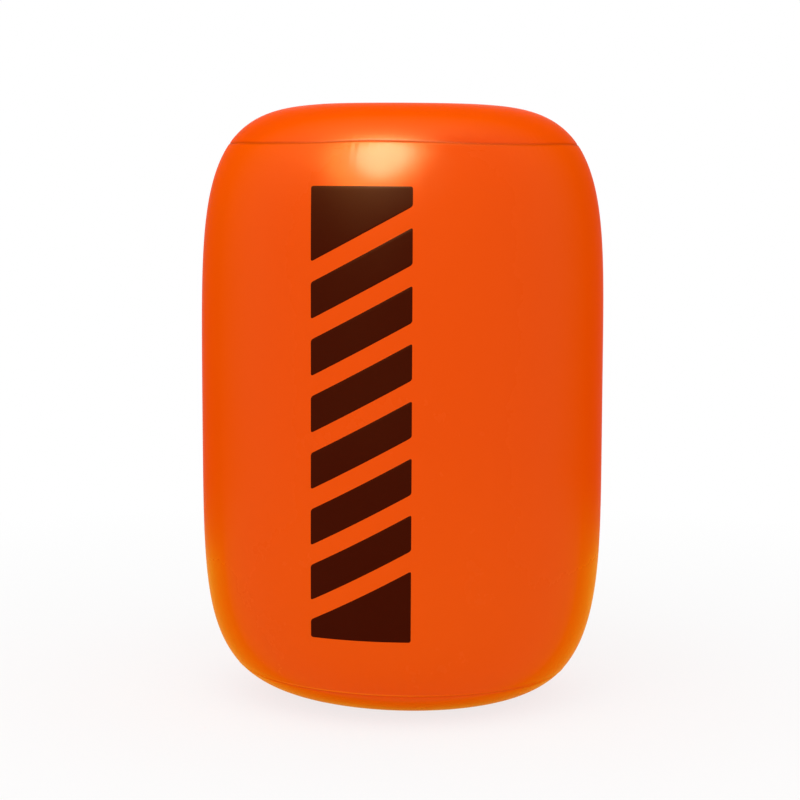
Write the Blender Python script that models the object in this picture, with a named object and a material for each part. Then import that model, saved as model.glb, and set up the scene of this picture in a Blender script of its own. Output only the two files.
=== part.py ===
"""Inflated marker buoy, standing on its end.

The bag is a cylinder of coated cloth whose two end discs are welded on. Air rounds its shoulders.
A valve with a push-in plug sits in the back of the wall, and a tab with a metal eyelet for the
anchor line lies in a shallow dish under the foot.

The origin is at the middle of the foot, on the ground. +Z is up and -Y is the printed front.
"""
import math

import bmesh
import bpy
from mathutils import Matrix, Vector

# Driving dimensions, in metres unless the name says otherwise

# Bag, as blown up and afloat
BAG_DIAMETER = 0.600
BAG_HEIGHT = 0.884
SHOULDER_POWER = 4.70        # 2 is an ellipse, and a higher power is squarer
TOP_DISC_RADIUS = 0.258      # where the top disc meets the wall
BOTTOM_DISC_RADIUS = 0.247
CREASE_DEPTH = 0.0008        # the pinched line of each welded end
CREASE_WIDTH = 0.004
LAP_AZIMUTH_DEG = 72.0       # the wall panel's own joint, at the back
LAP_WIDTH = 0.025
LAP_THICKNESS = 0.0009

# Foot
FOOT_BAND = 0.038            # width of the flat ring that the buoy stands on
DISH_SLOPE = 0.022           # run of the dish's sloping side
GROUND_CLEARANCE = 0.0012    # under the eyelet

# Valve, in the back of the wall
VALVE_AZIMUTH_DEG = 108.0
VALVE_DROP = 0.120           # below the top weld
FLANGE_RADIUS = 0.032
FLANGE_THICKNESS = 0.0016
FLANGE_LIP = 0.0005          # how far the seat's rim stands above its lowest edge
RIB_INSET = 0.0034           # from the flange's rim to the first of two weld ribs
RIB_SPACING = 0.0030
RIB_HEIGHT = 0.0005
RIB_WIDTH = 0.0014
RIB_CROWN = 0.0007           # width of the rib's flat top
STEM_RADIUS = 0.0105
STEM_LENGTH = 0.024
BORE_RADIUS = 0.0070
NECK_RADIUS = 0.0105
NECK_HEIGHT = 0.0046
NECK_BEAD = 0.0009           # how far the bead that holds the strap's ring stands out
NECK_BEAD_LENGTH = 0.0018

# Plug
SPIGOT_LENGTH = 0.016
SPIGOT_CLEARANCE = 0.0003
SPIGOT_LEAD = 0.0024         # from either end of the spigot to its nearer sealing bead
SPIGOT_SLOPE = 0.0040        # run from a bead down to the waist between the two
SPIGOT_WAIST = 0.0012        # depth of the waist
HEAD_OVERHANG = 0.0016       # head beyond the neck's bead
HEAD_THICKNESS = 0.0028
HEAD_EDGE = 0.0015           # height of the head's upright edge
HEAD_SLOPE = 0.0036          # run of the slope above that edge
THUMB_RADIUS = 0.0065        # of the dish in the head's top
THUMB_SLOPE = 0.0016
THUMB_DEPTH = 0.0009
RING_WIDTH = 0.0026
RING_THICKNESS = 0.0016
STRAP_WIDTH = 0.0065
STRAP_THICKNESS = 0.0013
STRAP_REACH = 0.007          # straight run of the strap before it turns back
STRAP_LIFT = 0.0011          # from the head's underside to the strap's middle

# One-way flap behind the stem
FLAP_RADIUS = 0.0088
FLAP_THICKNESS = 0.0006
FLAP_ROOM = 0.006            # room for the flap to lift

# Anchor tab under the foot
PATCH_RADIUS = 0.050
PATCH_THICKNESS = 0.0012
PATCH_EDGE = 0.0006          # thickness that the patch thins down to at its rim
PATCH_MARGIN = 0.002         # dish beyond the patch
TAB_WIDTH = 0.034
TAB_CORNER = 0.0042
TAB_THICKNESS = 0.0020
TAB_REACH = 0.044            # from the eyelet's centre to the welded end
TAB_ROOT = 0.018             # length welded to the patch
EYELET_BORE_RADIUS = 0.0060
EYELET_WALL = 0.0008
EYELET_FLANGE = 0.0040       # flange beyond the barrel
EYELET_CURL = 0.0020         # rolled lip beyond the barrel
SHEET_FILLET = 0.0003        # at the edges of the eyelet's and washer's sheet metal
WASHER_RIM = 0.0038          # washer beyond its hole
WASHER_THICKNESS = 0.0008
EYELET_HEADROOM = 0.0010     # between the eyelet and the patch, so a line can pass

# Fits
SEAT_GAP = 0.0003            # between pieces that touch
SMALL_FILLET = 0.0004
MERGE_DISTANCE = 0.00003     # points closer than this are one

# How finely the round forms are cut
BAG_SIDES = 60
OUTLINE_STEPS = 18           # from the bag's waist to its pole
DISH_STEPS = 5
ARC_STEPS = 2
BEND_STEPS = 8               # round the strap's turn
TAB_STEPS = 6                # along the tab's step up to the patch
VALVE_SIDES = 32
EYELET_SIDES = 24
CUT_CLEAR = 0.010            # how far a cutter stands out of the surface it cuts

# Sizes worked out from the ones above
HALF_WIDTH = BAG_DIAMETER / 2
HALF_HEIGHT = BAG_HEIGHT / 2
DISH_FLAT_RADIUS = PATCH_RADIUS + PATCH_MARGIN
DISH_RADIUS = DISH_FLAT_RADIUS + DISH_SLOPE
FOOT_RADIUS = DISH_RADIUS + FOOT_BAND
BARREL_RADIUS = EYELET_BORE_RADIUS + EYELET_WALL
HOLE_RADIUS = BARREL_RADIUS + SEAT_GAP

# The tab's stack, from the ground up
CURL_BOTTOM = GROUND_CLEARANCE
WASHER_BOTTOM = CURL_BOTTOM + EYELET_WALL + SEAT_GAP
TAB_BOTTOM = WASHER_BOTTOM + WASHER_THICKNESS + SEAT_GAP
FLANGE_BOTTOM = TAB_BOTTOM + TAB_THICKNESS + SEAT_GAP
PATCH_BOTTOM = FLANGE_BOTTOM + EYELET_WALL + EYELET_HEADROOM
DISH_DEPTH = PATCH_BOTTOM + PATCH_THICKNESS + SEAT_GAP
TAB_STEP = PATCH_BOTTOM - SEAT_GAP - TAB_THICKNESS - TAB_BOTTOM

# Where the valve's flange lies flat, the round wall is pressed in to this chord
SEAT_RADIUS = FLANGE_RADIUS + SEAT_GAP
SEAT_DEPTH = HALF_WIDTH - math.sqrt(HALF_WIDTH**2 - SEAT_RADIUS**2) + FLANGE_LIP
FLANGE_TOP = SEAT_GAP + FLANGE_THICKNESS
NECK_TOP = FLANGE_TOP + NECK_HEIGHT
HEAD_BOTTOM = NECK_TOP + SEAT_GAP
HEAD_RADIUS = NECK_RADIUS + NECK_BEAD + HEAD_OVERHANG
RING_BOTTOM = FLANGE_TOP + SEAT_GAP
RING_BORE = NECK_RADIUS + SEAT_GAP
RING_RADIUS = RING_BORE + RING_WIDTH
STEM_BOTTOM = SEAT_GAP - STEM_LENGTH
POCKET_DEPTH = STEM_LENGTH + FLAP_THICKNESS + FLAP_ROOM

# Finishes: linear colour, roughness, metallic
BAG_PVC = ((0.80, 0.084, 0.001), 0.24, 0.0)
PATCH_PVC = ((0.70, 0.075, 0.002), 0.35, 0.0)
VALVE_PVC = ((0.055, 0.055, 0.060), 0.40, 0.0)
PLUG_PVC = ((0.018, 0.018, 0.020), 0.38, 0.0)
FLAP_FILM = ((0.62, 0.60, 0.55), 0.45, 0.0)
TAB_WEBBING = ((0.022, 0.021, 0.022), 0.60, 0.0)
EYELET_STEEL = ((0.62, 0.62, 0.60), 0.25, 1.0)


def clear_scene():
    """Start from an empty scene."""
    for obj in list(bpy.data.objects):
        bpy.data.objects.remove(obj, do_unlink=True)


def make_material(name, finish):
    """A plain Principled material."""
    colour, roughness, metallic = finish
    material = bpy.data.materials.new(name)
    material.use_nodes = True
    shader = material.node_tree.nodes["Principled BSDF"]
    shader.inputs["Base Color"].default_value = (*colour, 1.0)
    shader.inputs["Roughness"].default_value = roughness
    shader.inputs["Metallic"].default_value = metallic
    return material


def add_object(name, bm, material=None, parent=None, sharp_deg=30.0):
    """Put a bmesh into the scene as one smooth-shaded object with sharp edges past sharp_deg."""
    bmesh.ops.recalc_face_normals(bm, faces=bm.faces)
    mesh = bpy.data.meshes.new(name)
    bm.to_mesh(mesh)
    bm.free()
    mesh.shade_smooth()
    mesh.set_sharp_from_angle(angle=math.radians(sharp_deg))
    if material:
        mesh.materials.append(material)
    obj = bpy.data.objects.new(name, mesh)
    bpy.context.collection.objects.link(obj)
    obj.parent = parent
    return obj


def make_cutter(obj):
    """Show an object as a wire and keep it out of the model."""
    obj.display_type = "WIRE"
    obj.hide_render = True
    return obj


def add_boolean(obj, other, operation):
    """Cut or join another object into this one."""
    modifier = obj.modifiers.new(other.name, "BOOLEAN")
    modifier.operation = operation
    modifier.solver = "EXACT"
    modifier.object = other


def rounded(corners):
    """Outline through corners (x, y, fillet radius), with each fillet as a short arc."""
    points = []
    count = len(corners)
    for index, (x, y, radius) in enumerate(corners):
        corner = Vector((x, y))
        if radius <= 0:
            points.append(corner)
            continue
        before = (Vector(corners[index - 1][:2]) - corner).normalized()
        after = (Vector(corners[(index + 1) % count][:2]) - corner).normalized()
        half = before.angle(after) / 2
        centre = corner + (before + after).normalized() * (radius / math.sin(half))
        start = corner + before * (radius / math.tan(half)) - centre
        end = corner + after * (radius / math.tan(half)) - centre
        first = math.atan2(start.y, start.x)
        swing = math.remainder(math.atan2(end.y, end.x) - first, math.tau)
        for step in range(ARC_STEPS + 1):
            turn = first + swing * step / ARC_STEPS
            points.append(centre + radius * Vector((math.cos(turn), math.sin(turn))))
    return points


def revolve(outline, sides):
    """Spin a closed outline of (radius, height) points about the Z axis."""
    bm = bmesh.new()
    verts = [bm.verts.new((point[0], 0.0, point[1])) for point in outline]
    edges = [bm.edges.new((verts[i - 1], verts[i])) for i in range(len(verts))]
    on_axis = [edge for edge in edges if all(abs(v.co.x) < MERGE_DISTANCE for v in edge.verts)]
    for edge in on_axis:
        bm.edges.remove(edge)
    bmesh.ops.spin(
        bm,
        geom=bm.verts[:] + bm.edges[:],
        cent=(0, 0, 0),
        axis=(0, 0, 1),
        angle=math.tau,
        steps=sides,
        use_merge=True,
    )
    bmesh.ops.remove_doubles(bm, verts=bm.verts, dist=MERGE_DISTANCE)
    return bm


def extrude_outline(loops, bottom, thickness):
    """Solid plate from an outer outline and its holes, each a list of (x, y) points."""
    bm = bmesh.new()
    edges = []
    for loop in loops:
        verts = [bm.verts.new((x, y, bottom)) for x, y in loop]
        edges += [bm.edges.new((verts[i - 1], verts[i])) for i in range(len(verts))]
    bmesh.ops.triangle_fill(bm, use_beauty=True, use_dissolve=False, edges=edges)
    raised = bmesh.ops.extrude_face_region(bm, geom=bm.faces[:], use_keep_orig=True)
    top = [item for item in raised["geom"] if isinstance(item, bmesh.types.BMVert)]
    bmesh.ops.translate(bm, verts=top, vec=(0, 0, thickness))
    return bm


def arc(centre_x, centre_y, radius, start_deg, end_deg, steps):
    """Points along an arc, both ends included."""
    turns = [math.radians(start_deg + (end_deg - start_deg) * k / steps) for k in range(steps + 1)]
    return [(centre_x + radius * math.cos(t), centre_y + radius * math.sin(t)) for t in turns]


def smooth_step(share):
    """0 to 1 with a level start and end."""
    share = min(max(share, 0.0), 1.0)
    return share * share * (3 - 2 * share)


# The bag's outline is |r / a|^n + |z / b|^n = 1, with z from mid-height

def outline_point(facing):
    """Radius and height of the outline where it faces up by this angle: 0 at the waist."""
    power = SHOULDER_POWER / (2 * (SHOULDER_POWER - 1))
    turn = math.atan((HALF_HEIGHT / HALF_WIDTH * math.tan(facing)) ** power)
    radius = HALF_WIDTH * math.cos(turn) ** (2 / SHOULDER_POWER)
    height = HALF_HEIGHT * math.sin(turn) ** (2 / SHOULDER_POWER)
    return radius, height


def outline_height(radius):
    """Height of the outline at a radius."""
    return HALF_HEIGHT * (1 - (radius / HALF_WIDTH) ** SHOULDER_POWER) ** (1 / SHOULDER_POWER)


def outline_radius(height):
    """Radius of the outline at a height."""
    return HALF_WIDTH * (1 - abs(height / HALF_HEIGHT) ** SHOULDER_POWER) ** (1 / SHOULDER_POWER)


def outline_facing(radius, height):
    """Angle by which the outline faces up at one of its points."""
    along = (radius / HALF_WIDTH) ** (SHOULDER_POWER - 1) / HALF_WIDTH
    up = (height / HALF_HEIGHT) ** (SHOULDER_POWER - 1) / HALF_HEIGHT
    return math.atan2(up, along)


GROUND = outline_height(FOOT_RADIUS)     # from mid-height down to the flat foot


def half_outline(disc_radius):
    """Rows (radius, height, on_wall) from the waist to the pole, with the weld's crease."""
    seam_height = outline_height(disc_radius)
    seam_facing = outline_facing(disc_radius, seam_height)
    wall = []
    disc = []
    for step in range(OUTLINE_STEPS):
        facing = math.pi / 4 * (1 - math.cos(math.pi * step / OUTLINE_STEPS))
        radius, height = outline_point(facing)
        if math.hypot(radius - disc_radius, height - seam_height) > CREASE_WIDTH:
            on_wall = facing < seam_facing
            (wall if on_wall else disc).append((radius, height, on_wall))
    crease = []
    for along, depth in ((-CREASE_WIDTH / 2, 0.0), (0.0, CREASE_DEPTH), (CREASE_WIDTH / 2, 0.0)):
        radius = disc_radius - along * math.sin(seam_facing) - depth * math.cos(seam_facing)
        height = seam_height + along * math.cos(seam_facing) - depth * math.sin(seam_facing)
        crease.append((radius, height, False))
    return wall + crease + disc


def bag_rows():
    """All rows (radius, height above the ground, on_wall), from the top pole down to the dish."""
    above_waist = half_outline(TOP_DISC_RADIUS)[1:]
    rows = [(radius, GROUND + height, on_wall) for radius, height, on_wall in reversed(above_waist)]
    for radius, height, on_wall in half_outline(BOTTOM_DISC_RADIUS):
        if radius > FOOT_RADIUS + CREASE_WIDTH:
            rows.append((radius, GROUND - height, on_wall))
    rows.append((FOOT_RADIUS, 0.0, False))
    for step in range(DISH_STEPS + 1):
        share = step / DISH_STEPS
        radius = DISH_RADIUS + (DISH_FLAT_RADIUS - DISH_RADIUS) * share
        rows.append((radius, DISH_DEPTH * smooth_step(share), False))
    return rows


def bag_angles():
    """Azimuths of the bag's sides, with the lapped joint's two edges between them, and its raise."""
    middle = math.radians(LAP_AZIMUTH_DEG)
    half = LAP_WIDTH / BAG_DIAMETER
    ramp = LAP_THICKNESS / HALF_WIDTH
    edges = [middle - half - ramp, middle - half, middle + half, middle + half + ramp]
    plain = [math.tau * side / BAG_SIDES for side in range(BAG_SIDES)]
    angles = sorted(plain + edges)
    raised = [LAP_THICKNESS if abs(angle - middle) < half + ramp / 2 else 0.0 for angle in angles]
    return list(zip(angles, raised))


def loft_bag():
    """Loft one ring of points for each row, and close both ends with a fan."""
    bm = bmesh.new()
    columns = bag_angles()
    rings = []
    for radius, height, on_wall in bag_rows():
        ring = []
        for angle, raised in columns:
            reach = radius + (raised if on_wall else 0.0)
            ring.append(bm.verts.new((reach * math.cos(angle), reach * math.sin(angle), height)))
        rings.append(ring)
    count = len(columns)
    for upper, lower in zip(rings, rings[1:]):
        for i in range(count):
            bm.faces.new((upper[i - 1], lower[i - 1], lower[i], upper[i]))
    top = bm.verts.new((0, 0, GROUND + HALF_HEIGHT))
    roof = bm.verts.new((0, 0, DISH_DEPTH))
    for i in range(count):
        bm.faces.new((top, rings[0][i - 1], rings[0][i]))
        bm.faces.new((roof, rings[-1][i], rings[-1][i - 1]))
    return bm


def valve_frame():
    """Place of the valve's seat: its Z axis points out of the wall and its Y axis up the wall."""
    height = outline_height(TOP_DISC_RADIUS) - VALVE_DROP
    radius = outline_radius(height)
    facing = outline_facing(radius, height)
    azimuth = math.radians(VALVE_AZIMUTH_DEG)
    around = Vector((math.cos(azimuth), math.sin(azimuth), 0))
    outward = around * math.cos(facing) + Vector((0, 0, 1)) * math.sin(facing)
    across = Vector((0, 0, 1)).cross(around)
    upward = outward.cross(across)
    seat = around * radius + Vector((0, 0, GROUND + height)) - outward * SEAT_DEPTH
    frame = Matrix((across, upward, outward)).transposed().to_4x4()
    frame.translation = seat
    return frame


def add_bag(valve_seat, material):
    """The sealed bag, with the valve's flat seat and pocket cut into its wall."""
    bag = add_object("buoy_body", loft_bag(), material, sharp_deg=25.0)
    pocket_radius = STEM_RADIUS + SEAT_GAP
    outline = [
        (0.0, -POCKET_DEPTH),
        (pocket_radius, -POCKET_DEPTH),
        (pocket_radius, 0.0),
        (SEAT_RADIUS, 0.0),
        (SEAT_RADIUS, CUT_CLEAR),
        (0.0, CUT_CLEAR),
    ]
    cutter = make_cutter(add_object("valve_pocket_cutter", revolve(outline, VALVE_SIDES)))
    cutter.parent = valve_seat
    add_boolean(bag, cutter, "DIFFERENCE")


def add_valve_body(valve_seat, material):
    """Flange with two weld ribs, a stem sunk in the wall and a beaded neck, all one moulding."""
    outer_rib = FLANGE_RADIUS - RIB_INSET
    corners = [
        (BORE_RADIUS, STEM_BOTTOM, SMALL_FILLET),
        (STEM_RADIUS, STEM_BOTTOM, SMALL_FILLET),
        (STEM_RADIUS, SEAT_GAP, 0.0),
        (FLANGE_RADIUS, SEAT_GAP, 0.0),
        (FLANGE_RADIUS, FLANGE_TOP, SMALL_FILLET),
    ]
    for middle in (outer_rib, outer_rib - RIB_SPACING):
        corners += [
            (middle + RIB_WIDTH / 2, FLANGE_TOP, 0.0),
            (middle + RIB_CROWN / 2, FLANGE_TOP + RIB_HEIGHT, 0.0),
            (middle - RIB_CROWN / 2, FLANGE_TOP + RIB_HEIGHT, 0.0),
            (middle - RIB_WIDTH / 2, FLANGE_TOP, 0.0),
        ]
    bead_radius = NECK_RADIUS + NECK_BEAD
    bead_bottom = NECK_TOP - NECK_BEAD_LENGTH
    corners += [
        (NECK_RADIUS, FLANGE_TOP, 0.0),
        (NECK_RADIUS, bead_bottom - NECK_BEAD, 0.0),
        (bead_radius, bead_bottom, 0.0),
        (bead_radius, NECK_TOP, SMALL_FILLET),
        (BORE_RADIUS, NECK_TOP, SMALL_FILLET),
    ]
    add_object("valve_body", revolve(rounded(corners), VALVE_SIDES), material, valve_seat)


def add_valve_plug(valve_seat, material):
    """Dished head and beaded spigot, joined by a strap to the ring that sits on the neck."""
    spigot = BORE_RADIUS - SPIGOT_CLEARANCE
    waist = spigot - SPIGOT_WAIST
    tip = HEAD_BOTTOM - SPIGOT_LENGTH
    lower_bead = tip + SPIGOT_LEAD
    upper_bead = HEAD_BOTTOM - SPIGOT_LEAD
    top = HEAD_BOTTOM + HEAD_THICKNESS
    corners = [
        (0.0, tip, 0.0),
        (waist, tip, SMALL_FILLET),
        (spigot, lower_bead, SMALL_FILLET),
        (waist, lower_bead + SPIGOT_SLOPE, 0.0),
        (waist, upper_bead - SPIGOT_SLOPE, 0.0),
        (spigot, upper_bead, SMALL_FILLET),
        (spigot, HEAD_BOTTOM, 0.0),
        (HEAD_RADIUS, HEAD_BOTTOM, SMALL_FILLET),
        (HEAD_RADIUS, HEAD_BOTTOM + HEAD_EDGE, SMALL_FILLET),
        (HEAD_RADIUS - HEAD_SLOPE, top, SMALL_FILLET),
        (THUMB_RADIUS, top, 0.0),
        (THUMB_RADIUS - THUMB_SLOPE, top - THUMB_DEPTH, 0.0),
        (0.0, top - THUMB_DEPTH, 0.0),
    ]
    plug = add_object("valve_plug", revolve(rounded(corners), VALVE_SIDES), material, valve_seat)

    ring_top = RING_BOTTOM + RING_THICKNESS
    ring_outline = [
        (RING_BORE, RING_BOTTOM),
        (RING_RADIUS, RING_BOTTOM),
        (RING_RADIUS, ring_top),
        (RING_BORE, ring_top),
    ]
    ring = add_object("strap_ring", revolve(ring_outline, VALVE_SIDES), parent=valve_seat)
    add_boolean(plug, make_cutter(strap_solid(valve_seat)), "UNION")
    add_boolean(plug, make_cutter(ring), "UNION")


def strap_solid(valve_seat):
    """Flat strap that leaves the ring, turns back in a half circle and enters the head's edge."""
    low = RING_BOTTOM + RING_THICKNESS / 2
    high = HEAD_BOTTOM + STRAP_LIFT
    bend = (high - low) / 2
    turn_x = HEAD_RADIUS + STRAP_REACH
    half = STRAP_THICKNESS / 2
    ring_x = RING_RADIUS - RING_WIDTH / 2
    head_x = HEAD_RADIUS - HEAD_OVERHANG
    outer = arc(turn_x, low + bend, bend + half, -90, 90, BEND_STEPS)
    inner = arc(turn_x, low + bend, bend - half, 90, -90, BEND_STEPS)
    outline = [(ring_x, low - half)] + outer + [(head_x, high + half), (head_x, high - half)]
    outline += inner + [(ring_x, low + half)]
    bm = extrude_outline([outline], -STRAP_WIDTH / 2, STRAP_WIDTH)
    bmesh.ops.rotate(bm, verts=bm.verts, cent=(0, 0, 0), matrix=Matrix.Rotation(math.pi / 2, 3, "X"))
    return add_object("plug_strap", bm, parent=valve_seat)


def add_valve_flap(valve_seat, material):
    """Thin disc of film that closes the stem from behind."""
    top = STEM_BOTTOM - SEAT_GAP
    outline = [
        (0.0, top - FLAP_THICKNESS),
        (FLAP_RADIUS, top - FLAP_THICKNESS),
        (FLAP_RADIUS, top),
        (0.0, top),
    ]
    add_object("valve_flap", revolve(outline, EYELET_SIDES), material, valve_seat)


def add_tether_patch(material):
    """Round patch welded to the dish's roof, with a thinned edge."""
    patch_top = PATCH_BOTTOM + PATCH_THICKNESS
    outline = [
        (0.0, PATCH_BOTTOM),
        (PATCH_RADIUS - PATCH_THICKNESS, PATCH_BOTTOM),
        (PATCH_RADIUS, patch_top - PATCH_EDGE),
        (PATCH_RADIUS, patch_top),
        (0.0, patch_top),
    ]
    add_object("tether_patch", revolve(outline, BAG_SIDES), material)


def add_tether_tab(material):
    """Flat tab with a round free end about the eyelet, stepped up to the patch at its root."""
    half = TAB_WIDTH / 2
    corner_x = TAB_CORNER - TAB_REACH
    free_end = arc(0, 0, half, -90, 90, EYELET_SIDES // 2)
    far_corner = arc(corner_x, half - TAB_CORNER, TAB_CORNER, 90, 180, ARC_STEPS)
    near_corner = arc(corner_x, TAB_CORNER - half, TAB_CORNER, 180, 270, ARC_STEPS)
    hole = arc(0, 0, HOLE_RADIUS, 360, 360 / EYELET_SIDES, EYELET_SIDES - 1)
    bm = extrude_outline([free_end + far_corner + near_corner, hole], TAB_BOTTOM, TAB_THICKNESS)
    step_start = TAB_REACH - TAB_ROOT
    step_end = max(BARREL_RADIUS + EYELET_FLANGE, WASHER_RIM + HOLE_RADIUS)
    for cut in range(TAB_STEPS + 1):
        place = -(step_end + (step_start - step_end) * cut / TAB_STEPS)
        everything = bm.verts[:] + bm.edges[:] + bm.faces[:]
        bmesh.ops.bisect_plane(bm, geom=everything, plane_co=(place, 0, 0), plane_no=(1, 0, 0))
    for vert in bm.verts:
        vert.co.z += TAB_STEP * smooth_step((-vert.co.x - step_end) / (step_start - step_end))
    bmesh.ops.triangulate(bm, faces=bm.faces)
    add_object("tether_tab", bm, material)


def add_tether_eyelet(material):
    """Flanged barrel that passes through the tab and is rolled out under the washer."""
    flange_top = FLANGE_BOTTOM + EYELET_WALL
    flange_radius = BARREL_RADIUS + EYELET_FLANGE
    curl_radius = BARREL_RADIUS + EYELET_CURL
    curl_top = CURL_BOTTOM + EYELET_WALL
    corners = [
        (EYELET_BORE_RADIUS, CURL_BOTTOM, SHEET_FILLET),
        (curl_radius, CURL_BOTTOM, SHEET_FILLET),
        (curl_radius, curl_top, 0.0),
        (BARREL_RADIUS, curl_top, 0.0),
        (BARREL_RADIUS, FLANGE_BOTTOM, 0.0),
        (flange_radius, FLANGE_BOTTOM, 0.0),
        (flange_radius, flange_top, SHEET_FILLET),
        (EYELET_BORE_RADIUS, flange_top, SHEET_FILLET),
    ]
    add_object("tether_eyelet", revolve(rounded(corners), EYELET_SIDES), material)


def add_tether_washer(material):
    """Flat ring under the tab that the eyelet is rolled over."""
    rim = HOLE_RADIUS + WASHER_RIM
    washer_top = WASHER_BOTTOM + WASHER_THICKNESS
    corners = [
        (HOLE_RADIUS, WASHER_BOTTOM, 0.0),
        (rim, WASHER_BOTTOM, SHEET_FILLET),
        (rim, washer_top, 0.0),
        (HOLE_RADIUS, washer_top, 0.0),
    ]
    add_object("tether_washer", revolve(rounded(corners), EYELET_SIDES), material)


def build():
    """Make the whole buoy."""
    clear_scene()
    steel = make_material("eyelet_steel", EYELET_STEEL)
    valve_seat = bpy.data.objects.new("valve_seat", None)
    bpy.context.collection.objects.link(valve_seat)
    valve_seat.matrix_world = valve_frame()

    add_bag(valve_seat, make_material("bag_pvc", BAG_PVC))
    add_valve_body(valve_seat, make_material("valve_pvc", VALVE_PVC))
    add_valve_plug(valve_seat, make_material("plug_pvc", PLUG_PVC))
    add_valve_flap(valve_seat, make_material("flap_film", FLAP_FILM))
    add_tether_patch(make_material("patch_pvc", PATCH_PVC))
    add_tether_tab(make_material("tab_webbing", TAB_WEBBING))
    add_tether_eyelet(steel)
    add_tether_washer(steel)


build()
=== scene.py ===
# %% [markdown]
# # A standing marker buoy
# The object is an inflated buoy: a tube of orange coated cloth with a round disc welded into each
# end, stood upright. At the back are an air valve and the tube's own welded joint. Under the foot
# lies a tab with a steel eyelet for the anchor line.
#
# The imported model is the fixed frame. Every new surface below is worked out as whole numpy arrays
# from sizes that the frame gives, so that it sits exactly where the solid parts are.

# %% Load the frame
import math

import bpy
import numpy as np
from mathutils import Matrix, Vector


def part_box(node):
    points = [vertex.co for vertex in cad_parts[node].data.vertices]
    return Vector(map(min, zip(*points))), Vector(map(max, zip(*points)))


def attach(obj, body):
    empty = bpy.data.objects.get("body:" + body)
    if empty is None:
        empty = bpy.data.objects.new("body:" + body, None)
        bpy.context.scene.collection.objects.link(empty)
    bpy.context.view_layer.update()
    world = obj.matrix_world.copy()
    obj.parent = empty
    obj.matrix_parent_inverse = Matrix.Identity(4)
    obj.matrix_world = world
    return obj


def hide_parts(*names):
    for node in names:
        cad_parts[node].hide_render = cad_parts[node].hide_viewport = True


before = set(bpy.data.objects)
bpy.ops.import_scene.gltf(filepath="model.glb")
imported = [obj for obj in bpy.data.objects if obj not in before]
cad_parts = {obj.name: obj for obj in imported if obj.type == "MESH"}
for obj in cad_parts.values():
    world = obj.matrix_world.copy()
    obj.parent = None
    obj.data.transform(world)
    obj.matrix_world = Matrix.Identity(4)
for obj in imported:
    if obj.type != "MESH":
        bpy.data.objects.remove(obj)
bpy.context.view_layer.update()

print("nodes:", sorted(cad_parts))

# %% [markdown]
# ## Camera
# The photograph was taken with a long lens from a little below the buoy's top, looking slightly
# down. The distance, height, tilt and focal length were found by matching the outline of a
# computed buoy to the outline in the picture. No lens shift is needed, so the buoy also stays in
# the middle when the camera moves round it.

# %% Camera
IMAGE_SIZE = 800.0          # the photograph's side, in pixels
SENSOR = 36.0               # mm
FOCAL_PIXELS = 2253.3
CAMERA_DISTANCE = 3.372     # from the buoy's axis, along -Y
CAMERA_HEIGHT = 0.8196
LOOK_DOWN = 0.1120          # radians
LOOK_LEFT = 0.0010
ROLL = 0.0047


def new_object(name, data):
    """An object at the origin that shows the data, in the scene."""
    made = bpy.data.objects.new(name, data)
    bpy.context.scene.collection.objects.link(made)
    return made


camera_data = bpy.data.cameras.new("camera")
camera_data.sensor_width = SENSOR
camera_data.lens = FOCAL_PIXELS * SENSOR / IMAGE_SIZE
camera = new_object("camera", camera_data)
camera.matrix_world = (
    Matrix.Translation((0, -CAMERA_DISTANCE, CAMERA_HEIGHT))
    @ Matrix.Rotation(LOOK_LEFT, 4, "Z")
    @ Matrix.Rotation(math.pi / 2 - LOOK_DOWN, 4, "X")
    @ Matrix.Rotation(ROLL, 4, "Z")
)
bpy.context.scene.camera = camera
bpy.context.scene.view_settings.view_transform = "Standard"
print("lens, mm:", round(camera_data.lens, 1))

# %% [markdown]
# ## The bag's outline
# Air pressure gives a welded tube a shape between a cylinder and an egg. A Lamé curve draws that
# with one number: |r/a| to the power n plus |z/b| to the power n is 1. With n = 2 it is an
# ellipse, and with n near 5 it is a soft-shouldered can. Walking along the curve by the angle
# that the surface faces spaces the points evenly round the shoulders. The foot is pressed flat,
# and a shallow dish in it makes room for the anchor tab.
#
# The bag's width and height come from the frame, so the curve can't drift away from the solid.

# %% The bag's sizes
SHOULDER_POWER = 4.70
FOOT_BAND = 0.038           # width of the flat ring on the ground
DISH_SLOPE = 0.022
PATCH_MARGIN = 0.002
SEAT_GAP = 0.0003           # between pieces that touch
TOP_DISC_RADIUS = 0.258
BOTTOM_DISC_RADIUS = 0.247

bag_low, bag_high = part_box("buoy_body")
patch_low, patch_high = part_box("tether_patch")
HALF_WIDTH = (bag_high.x - bag_low.x) / 2
DISH_FLAT_RADIUS = patch_high.x + PATCH_MARGIN
DISH_RADIUS = DISH_FLAT_RADIUS + DISH_SLOPE
DISH_DEPTH = patch_high.z + SEAT_GAP
FOOT_RADIUS = DISH_RADIUS + FOOT_BAND
foot_share = (1 - (FOOT_RADIUS / HALF_WIDTH) ** SHOULDER_POWER) ** (1 / SHOULDER_POWER)
HALF_HEIGHT = bag_high.z / (1 + foot_share)
MIDDLE = bag_high.z - HALF_HEIGHT
print("half width and half height, m:", round(HALF_WIDTH, 4), round(HALF_HEIGHT, 4))

# %% [markdown]
# ## Two soft switches
# Cloth has no hard steps, so each detail has to come and go smoothly. One curve rises from 0 to 1
# between two places, and the other is a bump about one place. Nearly every form below is one of
# these two times a height.

# %% Soft switches
def smooth_step(share):
    """3s² - 2s³ with s held between 0 and 1: a rise from 0 to 1 with level ends."""
    share = np.clip(share, 0.0, 1.0)
    return share * share * (3 - 2 * share)


def bell(x, width):
    """e to the power -(x / width)²: 1 at x = 0, and near 0 beyond two widths."""
    return np.exp(-(np.asarray(x) / width) ** 2)


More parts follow.
